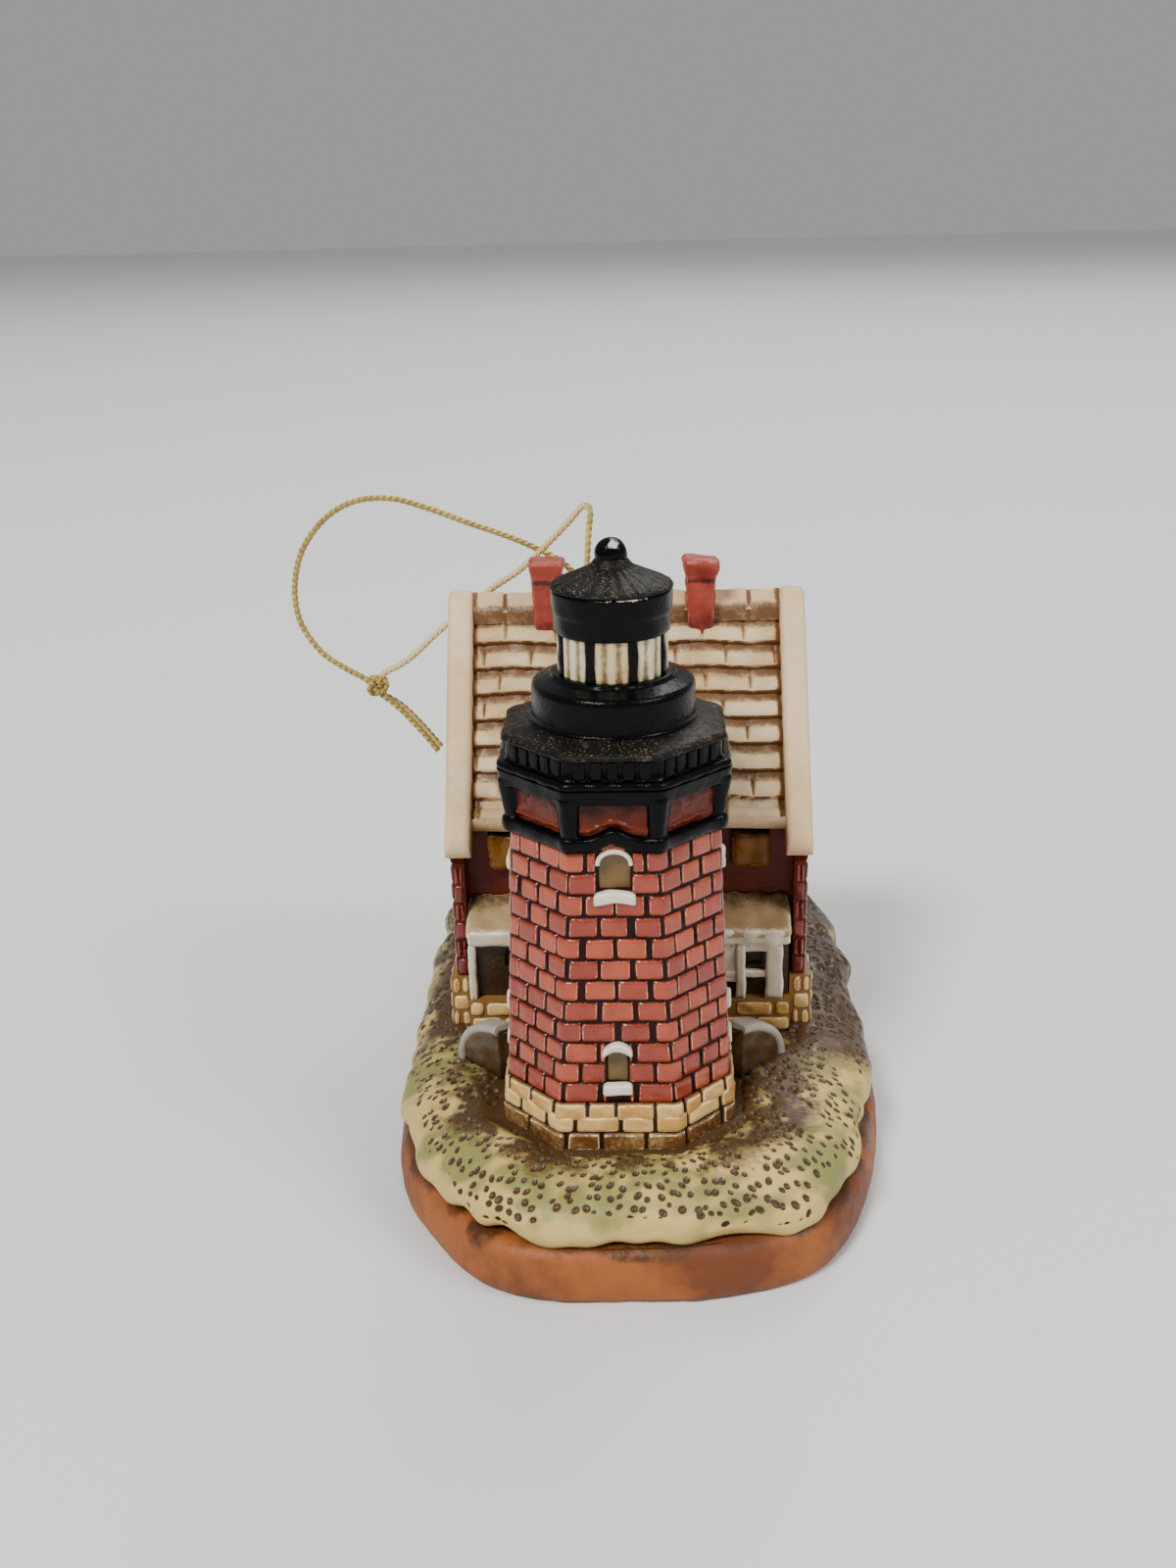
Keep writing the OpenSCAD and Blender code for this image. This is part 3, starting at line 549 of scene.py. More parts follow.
    def add_sweep(self, path, side, rise, section, scale=None, **masks):
        """A section of (side, rise) points carried along a path, closed at both ends."""
        scale = np.ones(len(path)) if scale is None else scale
        loop = np.concatenate([section, section[:1]])
        across = side[:, None, :] * (loop[None, :, :1] * scale[:, None, None])
        upward = rise[:, None, :] * (loop[None, :, 1:] * scale[:, None, None])
        self.close_tube(self.add_grid(path[:, None, :] + across + upward, **masks))


def make_piece(name, shape, paint, nodes, body="ornament", sharp_degrees=60):
    """Makes a shape into a piece of the object that stands for CAD nodes."""
    points = np.concatenate(shape.points)
    masks = np.concatenate(shape.masks)
    _, first, number = np.unique(np.round(points, 4), axis=0, return_index=True, return_inverse=True)
    number = number.reshape(-1)
    faces = number[np.concatenate(shape.quads)].tolist() + [number[cap].tolist() for cap in shape.caps]
    faces = [list(dict.fromkeys(face)) for face in faces]
    faces = [face for face in faces if len(face) > 2]
    mesh = bpy.data.meshes.new(name)
    mesh.from_pydata((points[first] * MM).tolist(), [], faces)
    for column, mask in enumerate(MASKS):
        values = mesh.attributes.new(mask, "FLOAT", "POINT").data
        values.foreach_set("value", masks[first, column].astype(np.float32))
    mesh.materials.append(PAINTS[paint])
    mesh.shade_smooth()
    mesh.set_sharp_from_angle(angle=math.radians(sharp_degrees))
    mesh.validate()
    piece = bpy.data.objects.new(name, mesh)
    bpy.context.scene.collection.objects.link(piece)
    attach(piece, body)
    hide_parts(*nodes)
    return piece


# ---------------------------------------------------------------- places and sizes from the frame

plinth_low, plinth_high = box_mm("plinth")
shaft_low, shaft_high = box_mm("tower_shaft")
foundation_low, foundation_high = box_mm("tower_foundation")
walls_low, walls_high = box_mm("house_walls")
slope_low, slope_high = box_mm("roof_front_slope")

# Base
BASE_WIDTH, BASE_DEPTH = (plinth_high - plinth_low)[:2]
RIM_TOP = plinth_high[2]
GROUND = box_mm("grass_mound")[1][2]
CAST_WALL = 3
DRAIN_RADIUS = 4
# How square the outline's quarters are
FRONT_LEFT_BLUNTNESS = 2.8
FRONT_RIGHT_BLUNTNESS = 3.1
BACK_BLUNTNESS = 6
PIT_CELL = 1.45
PIT_HALF = 0.5
PIT_SHARE = 0.95
OUTLINE_STEPS = 6001
# Height, turns per round and start of the outline's waves
OUTLINE_WAVES = [(0.012, 3, math.radians(40)), (0.009, 7, math.radians(100))]
MOUND_REACH = 22

# Tower; a share is how much of an octagon's width its cut corners take
TOWER = ((shaft_low + shaft_high) / 2)[:2]
FOUNDATION_WIDTH = (foundation_high - foundation_low)[0]
SHAFT_FOOT = shaft_low[2]
SHAFT_HEAD = shaft_high[2]
FOOT_WIDTH = (shaft_high - shaft_low)[0]
HEAD_WIDTH = 22.3
FOOT_SHARE = 0.25
HEAD_SHARE = 0.293
BRICK_COURSES = 12
BRICKS_PER_FACE = 3
BRICKS_PER_TURN = 8 * BRICKS_PER_FACE
BACK_FACE = 4
PORCH_TOP = 30
BRICK_LENGTH = 3.6
BRICK_JOINT = 0.075
BED_JOINT = 0.1
# Sill top, arch springing and width
LOWER_WINDOW = (18.9, 22.4, 2.2)
UPPER_WINDOW = (41.1, 44.1, 3.4)
RECESS = 0.95
TRIM_RISE = 0.6
CORBEL_WAIST = 47
CORBEL_SHOULDER = 51
CORBEL_TOP = box_mm("corbel_frame")[1][2]
GALLERY_WIDTH = width_mm("gallery_deck")
PANEL_HALF = 3.35
PANEL_FOOT = 46.9
PANEL_HEAD = 50.6
BALUSTERS = 5
BALUSTER_PITCH = 1.65
BALUSTER_WIDTH = 1.2
DRUM_RADIUS = width_mm("watch_room_drum") / 2
PARAPET_WIDTH = width_mm("gallery_parapet")
LANTERN_RADIUS = 5.95
ROOF_RIBS = 24
CHIP_ANGLE = 5
ROOF_RADIUS = width_mm("lantern_roof") / 2

# House
HOUSE_X = (walls_low[0] + walls_high[0]) / 2
RIDGE_Y = (walls_low[1] + walls_high[1]) / 2
RIDGE_HEIGHT = 61.5
PITCH = math.radians(50)
ROOF_THICKNESS = 2.8
ROOF_HALF = (slope_high - slope_low)[0] / 2
SLOPE_LENGTH = 19.65 / math.cos(PITCH)
SHINGLE_COURSES = 9
EAVE_HEIGHT = RIDGE_HEIGHT - SLOPE_LENGTH * math.sin(PITCH)
SHINGLE_STEP = 0.7
SHINGLE_WIDTH = 6
SHINGLE_SPLITS = 4
RIDGE_TILE = 7.5
BOARD_RISE = 1.1
BOARD_OVERHANG = 3.8
ROOF_SPREAD = {-1: 0.6, 1: 0.3}
HOLE = np.array((-6, RIDGE_Y, 59.6))
WING = 1.4
FRONT_WALL = -1.5
BACK_WALL = 2 * RIDGE_Y - FRONT_WALL
WALL_COURSE = 2.4
WALL_BRICK = 4.2
WALL_JOINT = 0.25
STONE_COURSE = 2.1
STONE_LENGTH = 4.4
STONE_JOINT = 0.16
# How far bricks and stones stand proud and sink in, how wide their round edges are, and how rough they are
BRICK_FORM = {"rise": 0.3, "sink": 0.2, "edge": 0.45, "rough": 0.06}
WING_BRICK_FORM = {"rise": 0.28, "sink": 0.2, "edge": 0.35, "rough": 0.12}
STONE_FORM = {"rise": 0.25, "sink": 0.15, "edge": 0.55, "rough": 0.12}
WING_STONE_FORM = {**STONE_FORM, "rough": 0.1}
# Middle, sill and arch springing of each gable window
SIDE_WINDOWS = [(6, 22, 28), (24.6, 22, 28), (RIDGE_Y, 38, 43)]
BACK_WINDOWS_X = (-12, 12)
BACK_WINDOW_GAP = (20.7, 31.4)
WINDOW_HALF = 2.2
WINDOW_MARGIN = 1.6
RIDGE_GAP = 0.3
# Rows of the shingles' grid that the round eave takes the place of
EAVE_ROWS = 6
CHIMNEY_WIDTH = 3.7
CHIMNEY_CAP = 2
CHIMNEY_LEAN = 0.35
# Heights over which the chimney grows lighter from its darker foot
CHIMNEY_DARK_FOOT = (58, 61)
FRONT_WINDOW_HALF = 2.35

# Porch and steps; a post's place and half its width
POSTS = [(-20.1, 0.5), (12.5, 0.6), (16.6, 1.05)]
INNER_POST, CORNER_POST = POSTS[1][0], POSTS[2][0]
PORCH_EAVE = 25.2
PANEL_WIDTH = 2.8
BEHIND_TOWER = 1.18
STEP_ANGLE = math.radians(47)
STEP_LENGTH = 8.6
STEP_HEIGHT = 6.6
STEP_THICK = 2
COPING = 0.9

# Paint of each CAD node that shows as it is
KEPT_NODES = {
    "house_walls": "wall",
    "house_foundation": "ledge",
    "porch_base": "ledge",
    "house_window_panes": "olive",
    "house_window_trims": "white",
    "porch_wall": "dark_brown",
}
SOFT_EDGE = 0.15

# ---------------------------------------------------------------- cord

# The route of the CAD strands, in millimetres, from the middle of the ridge's hole
FRONT_ROUTE = [
    (-6, 15.3, 59.6), (-6, 12.5, 59.6), (-6, 11.2, 60.5), (-5.8, 11, 63), (-5.6, 11.4, 66.5),
    (-5.4, 12, 69.5), (-5.2, 13.2, 72.2), (-6.2, 14.3, 72.3), (-8, 15.5, 70.2), (-11.5, 17, 66.5),
    (-14.5, 18, 63.7), (-18, 19.3, 61.2), (-21.5, 20.6, 58.4), (-25.5, 21.8, 55), (-30, 22.6, 50.9),
    (-33.4, 23.5, 48.8), (-35, 23.8, 47.2), (-34, 24, 45.8), (-31.5, 24.2, 44), (-29, 24.3, 41.2),
    (-26.6, 24.5, 38),
]
BACK_ROUTE = [
    (-6, 15.3, 59.6), (-6, 18.2, 59.6), (-6.2, 19.5, 60.4), (-7.2, 19.9, 62.2), (-9, 19.8, 64.2),
    (-11.6, 19.3, 65.9), (-15.7, 20, 67.6), (-20.7, 21, 69.2), (-26, 22, 71), (-31, 23, 72.2),
    (-36, 24, 71.7), (-40.3, 25, 69.2), (-43.6, 25.5, 65), (-45.1, 26, 60), (-44.6, 25.5, 55.4),
    (-42, 24.8, 51.5), (-38.5, 23.8, 49.3), (-36, 22.9, 48.2), (-34.4, 22.6, 46.6), (-31.6, 22.4, 44.2),
    (-29, 22, 41.4), (-26.6, 21.6, 38.4),
]
CORD_DIAMETER = 0.86
PLY_COUNT = 3
PLY_RADIUS = CORD_DIAMETER * 0.27
PLY_SIDES = 12
PLY_TWIST_MM = 2.6


def smooth_route(route, step):
    """Evenly spaced points on the smooth curve through a route."""
    points = np.array(route, float)
    padded = np.concatenate([points[:1], points, points[-1:]])
    before, start, end, after = (padded[k:len(padded) - 3 + k, None, :] for k in range(4))
    t = (np.arange(24) / 24)[None, :, None]
    curve = 0.5 * (2 * start + (end - before) * t + (2 * before - 5 * start + 4 * end - after) * t ** 2
                   + (3 * start - before - 3 * end + after) * t ** 3)
    curve = np.concatenate([curve.reshape(-1, 3), points[-1:]])
    along = np.concatenate([[0], np.cumsum(np.linalg.norm(np.diff(curve, axis=0), axis=1))])
    places = np.linspace(0, along[-1], round(along[-1] / step) + 1)
    return np.stack([np.interp(places, along, curve[:, axis]) for axis in range(3)], axis=1), along[-1]


def carried_frame(path):
    """Two directions square to a path, carried along it without twisting."""
    heading = unit(np.gradient(path, axis=0))
    side = np.empty_like(path)
    side[0] = np.cross(heading[0], (0, 0, 1))
    for k in range(1, len(path)):
        side[k] = unit(side[k - 1] - heading[k] * (side[k - 1] @ heading[k]))
    return side, np.cross(side, heading)


def circle(radius, sides):
    """Loop of points round a circle."""
    angle = np.linspace(0, 2 * math.pi, sides, endpoint=False)
    return np.stack([radius * np.cos(angle), radius * np.sin(angle)], axis=1)


def add_twisted_cord(shape, path, length):
    """Plies of foil-wrapped yarn that turn round each other along a path, each with a painted sheen along one
    side.
    """
    offset = CORD_DIAMETER / 2 - PLY_RADIUS
    # Painted sheen: through the wear mask each ply is paler along one side of its section.
    facing = circle(1, PLY_SIDES)[:, 0]
    wear = np.append(facing, facing[0])
    side, rise = carried_frame(path)
    along = np.linspace(0, length, len(path))
    for ply in range(PLY_COUNT):
        turn = 2 * math.pi * (along / PLY_TWIST_MM + ply / PLY_COUNT)
        out = side * np.cos(turn)[:, None] + rise * np.sin(turn)[:, None]
        tone = 0.5 + 0.4 * np.sin(turn * 3)[:, None]
        shape.add_sweep(path + out * offset, side, rise, circle(PLY_RADIUS, PLY_SIDES), tone=tone, wash=0.3,
                        wear=wear)


def make_strand(name, node, route):
    """One of the cord's two strands, from the middle of the ridge's hole to its tail."""
    path, length = smooth_route(route, 0.16)
    shape = Shape()
    add_twisted_cord(shape, path, length)
    piece = make_piece(name, shape, "cord", [node], body="hanger")


def make_knot():
    """An overhand knot: both strands together, turned once round themselves."""
    low, high = box_mm("cord_knot")
    center = (low + high) / 2
    radius = (high[0] - low[0]) / 2 - CORD_DIAMETER / 2
    shape = Shape()
    turn = np.linspace(0, 2 * math.pi, 160)
    for lift in (-0.3, 0.3):
        bend = 1 + 0.3 * np.cos(3 * turn)
        loop = np.stack([radius * 0.75 * bend * np.cos(2 * turn), radius * 0.5 * np.sin(3 * turn) + lift,
                         radius * 0.75 * bend * np.sin(2 * turn)], axis=1)
        add_twisted_cord(shape, center + loop, 20)
    return make_piece("cord_overhand_knot", shape, "cord", ["cord_knot"], body="hanger")


place_camera()
make_floor()
light_studio()
knot = make_knot()
make_strand("cord_front", "cord_front_strand", FRONT_ROUTE)
make_strand("cord_back", "cord_back_strand", BACK_ROUTE)

# ---------------------------------------------------------------- base

def outline_part(start, end, count):
    """Evenly spaced points of the base's wavy oblong, from -0.5 to 0.5 each way.

    start and end are shares of the way round, anticlockwise from the back's middle.
    """
    t = np.linspace(0, 2 * math.pi, OUTLINE_STEPS) + math.pi / 2
    front = np.where(np.cos(t) < 0, FRONT_LEFT_BLUNTNESS, FRONT_RIGHT_BLUNTNESS)
    power = 2 / np.where(np.sin(t) > 0, BACK_BLUNTNESS, front)
    wave = 1
    for height, turns, phase in OUTLINE_WAVES:
        wave = wave + height * np.sin(turns * t + phase)
    x = wave * np.sign(np.cos(t)) * np.abs(np.cos(t)) ** power
    y = wave * np.sign(np.sin(t)) * np.abs(np.sin(t)) ** power
    line = np.stack([(x - x.min()) / np.ptp(x) - 0.5, (y - y.min()) / np.ptp(y) - 0.5], axis=1)
    steps = np.linalg.norm(np.diff(line * (BASE_WIDTH, BASE_DEPTH), axis=0), axis=1)
    along = np.concatenate([[0], np.cumsum(steps)]) / steps.sum()
    places = np.linspace(start, end, count)
    places = np.where(places > 1, places - 1, places)
    return np.stack([np.interp(places, along, line[:, axis]) for axis in range(2)], axis=1)


def base_rings(outline, profile):
    """Points of the outline at each (inset, height) of a profile."""
    inset = profile[:, None, :1]
    flat = outline[None, :, :] * ((BASE_WIDTH, BASE_DEPTH) - 2 * inset)
    height = np.broadcast_to(profile[:, None, 1:], flat.shape[:2] + (1,))
    return np.concatenate([flat, height], axis=-1)


def make_plinth():
    """The bare terracotta rim and floor, with a cavity and a drain hole."""
    outline = outline_part(0, 1, 601)
    outer = soften([(3.5, 0), (0.6, 0), (0.05, 1.2), (0.02, 3.2), (0.4, 5.2), (1.4, RIM_TOP), (3.2, RIM_TOP)],
                   0.9)
    inner = np.array([(CAST_WALL + 2, RIM_TOP - 0.2), (CAST_WALL + 2, CAST_WALL)])
    shell = base_rings(outline, np.concatenate([refine(outer, 0.3), inner]))
    dent = 0.22 * np.clip(ripple(shell, 9, 21), 0, 1) + 0.03 * ripple(shell, 1.6, 22)
    shell[..., :2] *= 1 - dent[..., None] / BASE_WIDTH * 2
    angle = np.arctan2(outline[:, 1], outline[:, 0])
    drain = DRAIN_RADIUS * np.stack([np.cos(angle), np.sin(angle)], axis=1)
    drain_rings = [raised(drain, np.full(len(angle), height))[None] for height in (CAST_WALL, 0)]
    points = np.concatenate([shell, *drain_rings, shell[:1]])
    shape = Shape()
    seam = smooth_step(points[..., 2] + 0.8 * ripple(points, 3, 24), RIM_TOP - 1.8, RIM_TOP)
    shape.add_grid(points, tone=0.5 + 0.4 * ripple(points, 12, 23), wash=0.75 * seam, wear=0.25)
    make_piece("terracotta_plinth", shape, "terracotta", ["plinth"])


def pits(along, inward):
    """Strength from 0 to 1 of the pits pressed into the grass, one in each jittered cell."""
    columns, rows = 97, 89
    table = np.random.default_rng(31).random((columns, rows, 5))
    column = np.floor(along / PIT_CELL).astype(int)
    row = np.floor(inward / PIT_CELL).astype(int)
    deepest = np.zeros(along.shape)
    for right in (-1, 0, 1):
        for down in (-1, 0, 1):
            chances = table[(column + right) % columns, (row + down) % rows]
            shift, sink, slant, size, luck = np.moveaxis(chances, -1, 0)
            beside = along - (column + right + 0.15 + 0.7 * shift) * PIT_CELL
            below = inward - (row + down + 0.15 + 0.7 * sink) * PIT_CELL
            beside = beside + 0.9 * (slant - 0.5) * below
            reach = np.hypot(beside, below) / (PIT_HALF * (0.65 + 0.5 * size))
            strength = np.where(luck < PIT_SHARE, 1 - smooth_step(reach, 0.55, 1.15), 0)
            deepest = np.maximum(deepest, strength)
    return deepest


def gap_to_buildings(x, y):
    """Distance over the ground to the nearest foundation, in mm."""
    across = np.abs(x - TOWER[0])
    deep = np.abs(y - TOWER[1])
    flat = FOUNDATION_WIDTH / 2
    slanted = (2 - 2 * FOOT_SHARE) * flat / math.sqrt(2)
    to_tower = np.maximum(np.maximum(across, deep) - flat, (across + deep) / math.sqrt(2) - slanted)
    low, high = box_mm("house_foundation")
    beside = np.maximum(np.maximum(low[0] - x, x - high[0]), 0)
    beyond = np.maximum(np.maximum(low[1] - y, y - high[1]), 0)
    return np.minimum(to_tower, np.hypot(beside, beyond))


def make_mound(name, start, end, count, step):
    """Part of the grassy mound round the buildings: a pitted, glazed height field closed underneath."""
    outline = outline_part(start, end, count)
    bank = [(1.7, RIM_TOP - 0.1), (0.9, 7.2), (1.1, 9), (2.4, 10.4), (4.2, 11.4), (7, GROUND),
            (MOUND_REACH, GROUND)]
    top = refine(soften(bank, 1.6, 8), step)
    under = np.array([(MOUND_REACH, RIM_TOP), bank[0]])
    points = base_rings(outline, np.concatenate([top, under]))
    inward = np.concatenate([[0], np.cumsum(np.linalg.norm(np.diff(top, axis=0), axis=1))])[:, None]
    perimeter = 0.9 * (BASE_WIDTH + BASE_DEPTH) * 2
    along = np.linspace(start, end, count)[None, :] * perimeter
    inward, along = np.broadcast_arrays(inward, along)
    grass = points[:-2]
    gap = gap_to_buildings(grass[..., 0], grass[..., 1])
    lip = 1.4 + 1.6 * np.clip(ripple(grass, 9, 38), -0.6, 1)
    zone = smooth_step(inward, lip + 0.8, lip + 2.6) * smooth_step(gap, 0.3, 1.6)
    zone *= np.clip(0.95 + 0.6 * ripple(grass, 4.5, 32), 0, 1)
    pit = pits(along, inward) * smooth_step(zone, 0.2, 0.45)
    lumps = 0.22 * ripple(grass, 6, 33) + 0.07 * ripple(grass, 1.7, 34)
    settle = smooth_step(inward, 0.3, 2.5) * smooth_step(gap, -0.5, 3)
    lift = lumps * settle - 0.36 * pit
    slope = np.clip(1 - (GROUND - grass[..., 2]) / 4, 0, 1)
    edge = 1 - smooth_step(inward, 2, 5)
    lobes = 0.6 * ripple(grass * (1, 1, 0), 6, 39) + 0.2 * ripple(grass, 2.2, 40)
    grass[..., 2] += lift * (0.35 + 0.65 * slope) - 0.8 * lobes * (1 - smooth_step(inward, 0.5, 3))
    in_front = 1 - smooth_step(grass[..., 1], TOWER[1] - 6, TOWER[1] + 4)
    grass[..., 2] -= 0.9 * in_front * (1 - smooth_step(gap, 0.5, 3.2))
    pull = 1 + (lift * (1 - slope) + lobes * edge) / BASE_WIDTH * 1.6
    grass[..., :2] *= pull[..., None]
    beside = smooth_step(grass[..., 1], TOWER[1] - 14, TOWER[1] - 4)
    pooled = 1 - smooth_step(gap, 0.3, 2.4 + 4.6 * beside + 1.1 * ripple(grass, 4, 36))
    # Painted shade: to the right of the tower the mottled darkening near the buildings grows stronger and
    # wider.
    shade_right_of_tower = smooth_step(grass[..., 0], TOWER[0] + 6, TOWER[0] + 16)
    mottle = 0.75 + 0.4 * shade_right_of_tower + 0.35 * ripple(grass, 4, 37) + 0.25 * ripple(grass, 1.3, 41)
    # A mottled darkening near the buildings: a stain, with painted shade to the right of the tower.
    darkened = 0.85 * (1 - smooth_step(gap, 2 + 2 * shade_right_of_tower, 10 + 5 * beside + 2 * shade_right_of_tower))
    darkened *= np.clip(mottle, 0, 1)
    foot = 1 - smooth_step(inward, 0.1, 0.7)
    tone = 0.4 + 0.4 * ripple(grass, 5, 35) + 0.25 * ripple(grass, 1.6, 42) + 0.6 * edge
    masks = {
        "tone": np.clip(tone, 0, 1.3),
        "wash": np.maximum.reduce([1.25 * pit, pooled, darkened, foot]),
        "wear": 0.3 * (1 - pit),
    }
    masks = {mask: np.concatenate([values, values[-1:], values[:1]]) for mask, values in masks.items()}
    shape = Shape()
    shape.close_sides(shape.add_grid(points, **masks))
    make_piece(name, shape, "grass", ["grass_mound"])


# ---------------------------------------------------------------- tower

CORNER_X = np.array([(0, -1), (0, 1), (1, 0), (1, 0), (0, 1), (0, -1), (-1, 0), (-1, 0)])
CORNER_Y = np.array([(-1, 0), (-1, 0), (0, -1), (0, 1), (1, 0), (1, 0), (0, 1), (0, -1)])


def octagon_corner(number, width, share):
    """Corner of an octagon whose corners are cut by a share of its width, from the front's left one."""
    half = width / 2
    cut = half - share * width
    along = CORNER_X[number % 8]
    deep = CORNER_Y[number % 8]
    x = along[..., 0] * half + along[..., 1] * cut
    y = deep[..., 0] * half + deep[..., 1] * cut
    return np.stack([x, y], axis=-1)


def octagon_points(around, width, share, rounding):
    """Points of an octagon with rounded corners, and their outward directions, one step of around a face."""
    around, width, share = np.broadcast_arrays(around, width, share)
    face = np.floor(around).astype(int)
    t = (around - face)[..., None]
    start = octagon_corner(face, width, share)
    heading = octagon_corner(face + 1, width, share) - start
    points = start + t * heading
    nearest = np.round(around).astype(int)
    corner = octagon_corner(nearest, width, share)
    back = (octagon_corner(nearest - 1, width, share) - corner) * rounding
    onward = (octagon_corner(nearest + 1, width, share) - corner) * rounding
    t = (around - nearest + rounding)[..., None] / (2 * rounding)
    in_corner = (t > 0) & (t < 1)
    bend = (1 - t) ** 2 * back + t ** 2 * onward + corner
    turning = onward * t - back * (1 - t)
    points = np.where(in_corner, bend, points)
    heading = np.where(in_corner, turning, heading)
    outward = np.stack([heading[..., 1], -heading[..., 0]], axis=-1)
    return points, outward / np.maximum(np.linalg.norm(outward, axis=-1, keepdims=True), 1e-9)


def octagon_wall(corners, width_at, share_at, rounding=0.035):
    """place(across, height, out) for bricks on the tower, with the octagon's corners at those places."""
    def place(u, height, out):
        around = np.interp(u % corners[-1], corners, range(9))
        flat, outward = octagon_points(around, width_at(height), share_at(height), rounding)
        return raised(TOWER + flat + outward * out[..., None], height)
    return place


def face_places(per_face):
    """Places round an octagon: evenly spaced on each face, and more of them round its corners."""
    near = [0, 0.012, 0.025, 0.04, 0.06]
    between = np.linspace(0.08, 0.92, per_face)
    one = np.unique(np.round(np.concatenate([near, between, 1 - np.array(near)]), 5))
    return np.unique(np.concatenate([k + one for k in range(8)]))


def add_octagon(shape, profile, per_face=12, share=0.293, rounding=0.06, relief=None, **masks):
    """A closed octagonal solid from a profile of width and height, from its foot's centre to its head's."""
    around, width = np.meshgrid(face_places(per_face), profile[:, 0])
    height = np.broadcast_to(profile[:, 1:2], width.shape)
    flat, outward = octagon_points(around, width, share, rounding)
    if relief:
        out, lift = relief(around, width, height)
        flat = flat + outward * out[..., None]
        height = height + lift
    masks = {name: mask(around, width, height) if callable(mask) else mask for name, mask in masks.items()}
    shape.add_grid(raised(TOWER + flat, height), **masks)


def turned(origin, along, aside, ground=0.0):
    """place(points) that carries points (along, aside, height) to a place in plan, turned on the spot."""
    def place(points):
        flat = origin + points[..., :1] * along + points[..., 1:2] * aside
        return raised(flat, ground + points[..., 2])
    return place


def on_face(face, width, share):
    """place(points) that carries points (across, out, height) to one of the tower's eight faces."""
    turn = math.radians(45 * face)
    along = np.array([math.cos(turn), math.sin(turn)])
    outward = np.array([math.sin(turn), -math.cos(turn)])
    half = width / 2
    reach = half if face % 2 == 0 else (half + half - share * width) / math.sqrt(2)
    return turned(TOWER + reach * outward, along, outward)


def shaft_width(height):
    """Width of the tapering shaft at a height."""
    share = (height - SHAFT_FOOT) / (SHAFT_HEAD - SHAFT_FOOT)
    return FOOT_WIDTH + (HEAD_WIDTH - FOOT_WIDTH) * share


def shaft_share(height):
    """How much the shaft's corners are cut at a height."""
    share = (height - SHAFT_FOOT) / (SHAFT_HEAD - SHAFT_FOOT)
    return FOOT_SHARE + (HEAD_SHARE - FOOT_SHARE) * share


def face_offset(around, height, width_at=shaft_width, share_at=shaft_share):
    """Distance in mm from the middle of the wide face that a point is on; far off on the cut corners."""
    face = np.floor(around % 8)
    across = (around % 8 - face - 0.5) * width_at(height) * (1 - 2 * share_at(height))
    return np.where(face % 2 == 0, across, np.inf)


def in_window(around, height, grow):
    """True inside the tower's window openings, grown by some mm."""
    across = face_offset(around, height)
    inside = np.zeros(across.shape, bool)
    for sill, spring, width in (LOWER_WINDOW, UPPER_WINDOW):
        half = width / 2 + grow
        straight = (np.abs(across) < half) & (height > sill - grow) & (height < spring)
        arch = (np.hypot(across, height - spring) < half) & (height >= spring)
        inside |= straight | arch
    behind = (np.floor(around % 8) == BACK_FACE) & (height < PORCH_TOP)
    return inside & ~behind


def beside_window(left, right, foot, head):
    """The parts of a brick that lie beside the tower's windows, as (left, right) pairs."""
    brick = shaft_width(foot) * (1 - 2 * shaft_share(foot)) / BRICKS_PER_FACE
    parts = [(left, right)]
    for face, sill, spring, width in tower_window_faces():
        if head < sill - 0.3 or foot > spring + 0.35 * width:
            continue
        middle = (face + 0.5) * BRICKS_PER_FACE
        middle += BRICKS_PER_TURN if right > middle + BRICKS_PER_TURN / 2 else 0
        half = (width / 2 + 0.12) / brick
        cut = [(a, min(b, middle - half)) for a, b in parts] + [(max(a, middle + half), b) for a, b in parts]
        parts = [(a, b) for a, b in cut if b - a > 0.12]
    return parts


def make_tower_shaft():
    """Pillowed glazed bricks in running bond, on a core of dark pooled mortar."""
    corners = np.arange(9) * BRICKS_PER_FACE
    wall = octagon_wall(corners, shaft_width, shaft_share)
    bricks = Shape()
    rng = np.random.default_rng(41)
    pitch = (SHAFT_HEAD - SHAFT_FOOT) / BRICK_COURSES
    for course in range(BRICK_COURSES + 1):
        foot = SHAFT_FOOT + course * pitch
        head = min(foot + pitch, SHAFT_HEAD + 1)
        for brick in range(BRICKS_PER_TURN):
            left = brick + 0.5 * (course % 2) + BRICK_JOINT / 2
            lean = 0.05 * rng.uniform(-1, 1, 2)
            rise = 0.02 + 0.08 * rng.random()
            tone = 0.2 + 0.6 * rng.random()
            whole = (left + lean[0], left + 1 - BRICK_JOINT + lean[1])
            for part in beside_window(*whole, foot, head):
                bricks.add_patch(part, (foot + BED_JOINT / 2, head - BED_JOINT / 2), wall,
                                 unit=BRICK_LENGTH, rise=rise, sink=0.34, edge=0.42, rough=0.05,
                                 seed=BRICKS_PER_TURN * course + brick, tone=tone)
    make_piece("tower_bricks", bricks, "brick", ["tower_shaft"])
    core = Shape()
    u, v = np.meshgrid(np.linspace(0, BRICKS_PER_TURN, 385),
                       np.linspace(SHAFT_FOOT - 0.5, SHAFT_HEAD + 0.9, 110))
    around = np.interp(u, corners, range(9))
    flat = np.stack([BRICK_LENGTH * u, v, np.zeros(u.shape)], axis=-1)
    out = np.where(in_window(around, v, 0.05), -RECESS - 0.3, -0.26 + 0.04 * ripple(flat, 1.5, 43))
    core.close_tube(core.add_grid(wall(u, v, out), tone=0.5, wash=0.3, wear=0.1))
    make_piece("tower_mortar", core, "mortar", ["tower_shaft"])


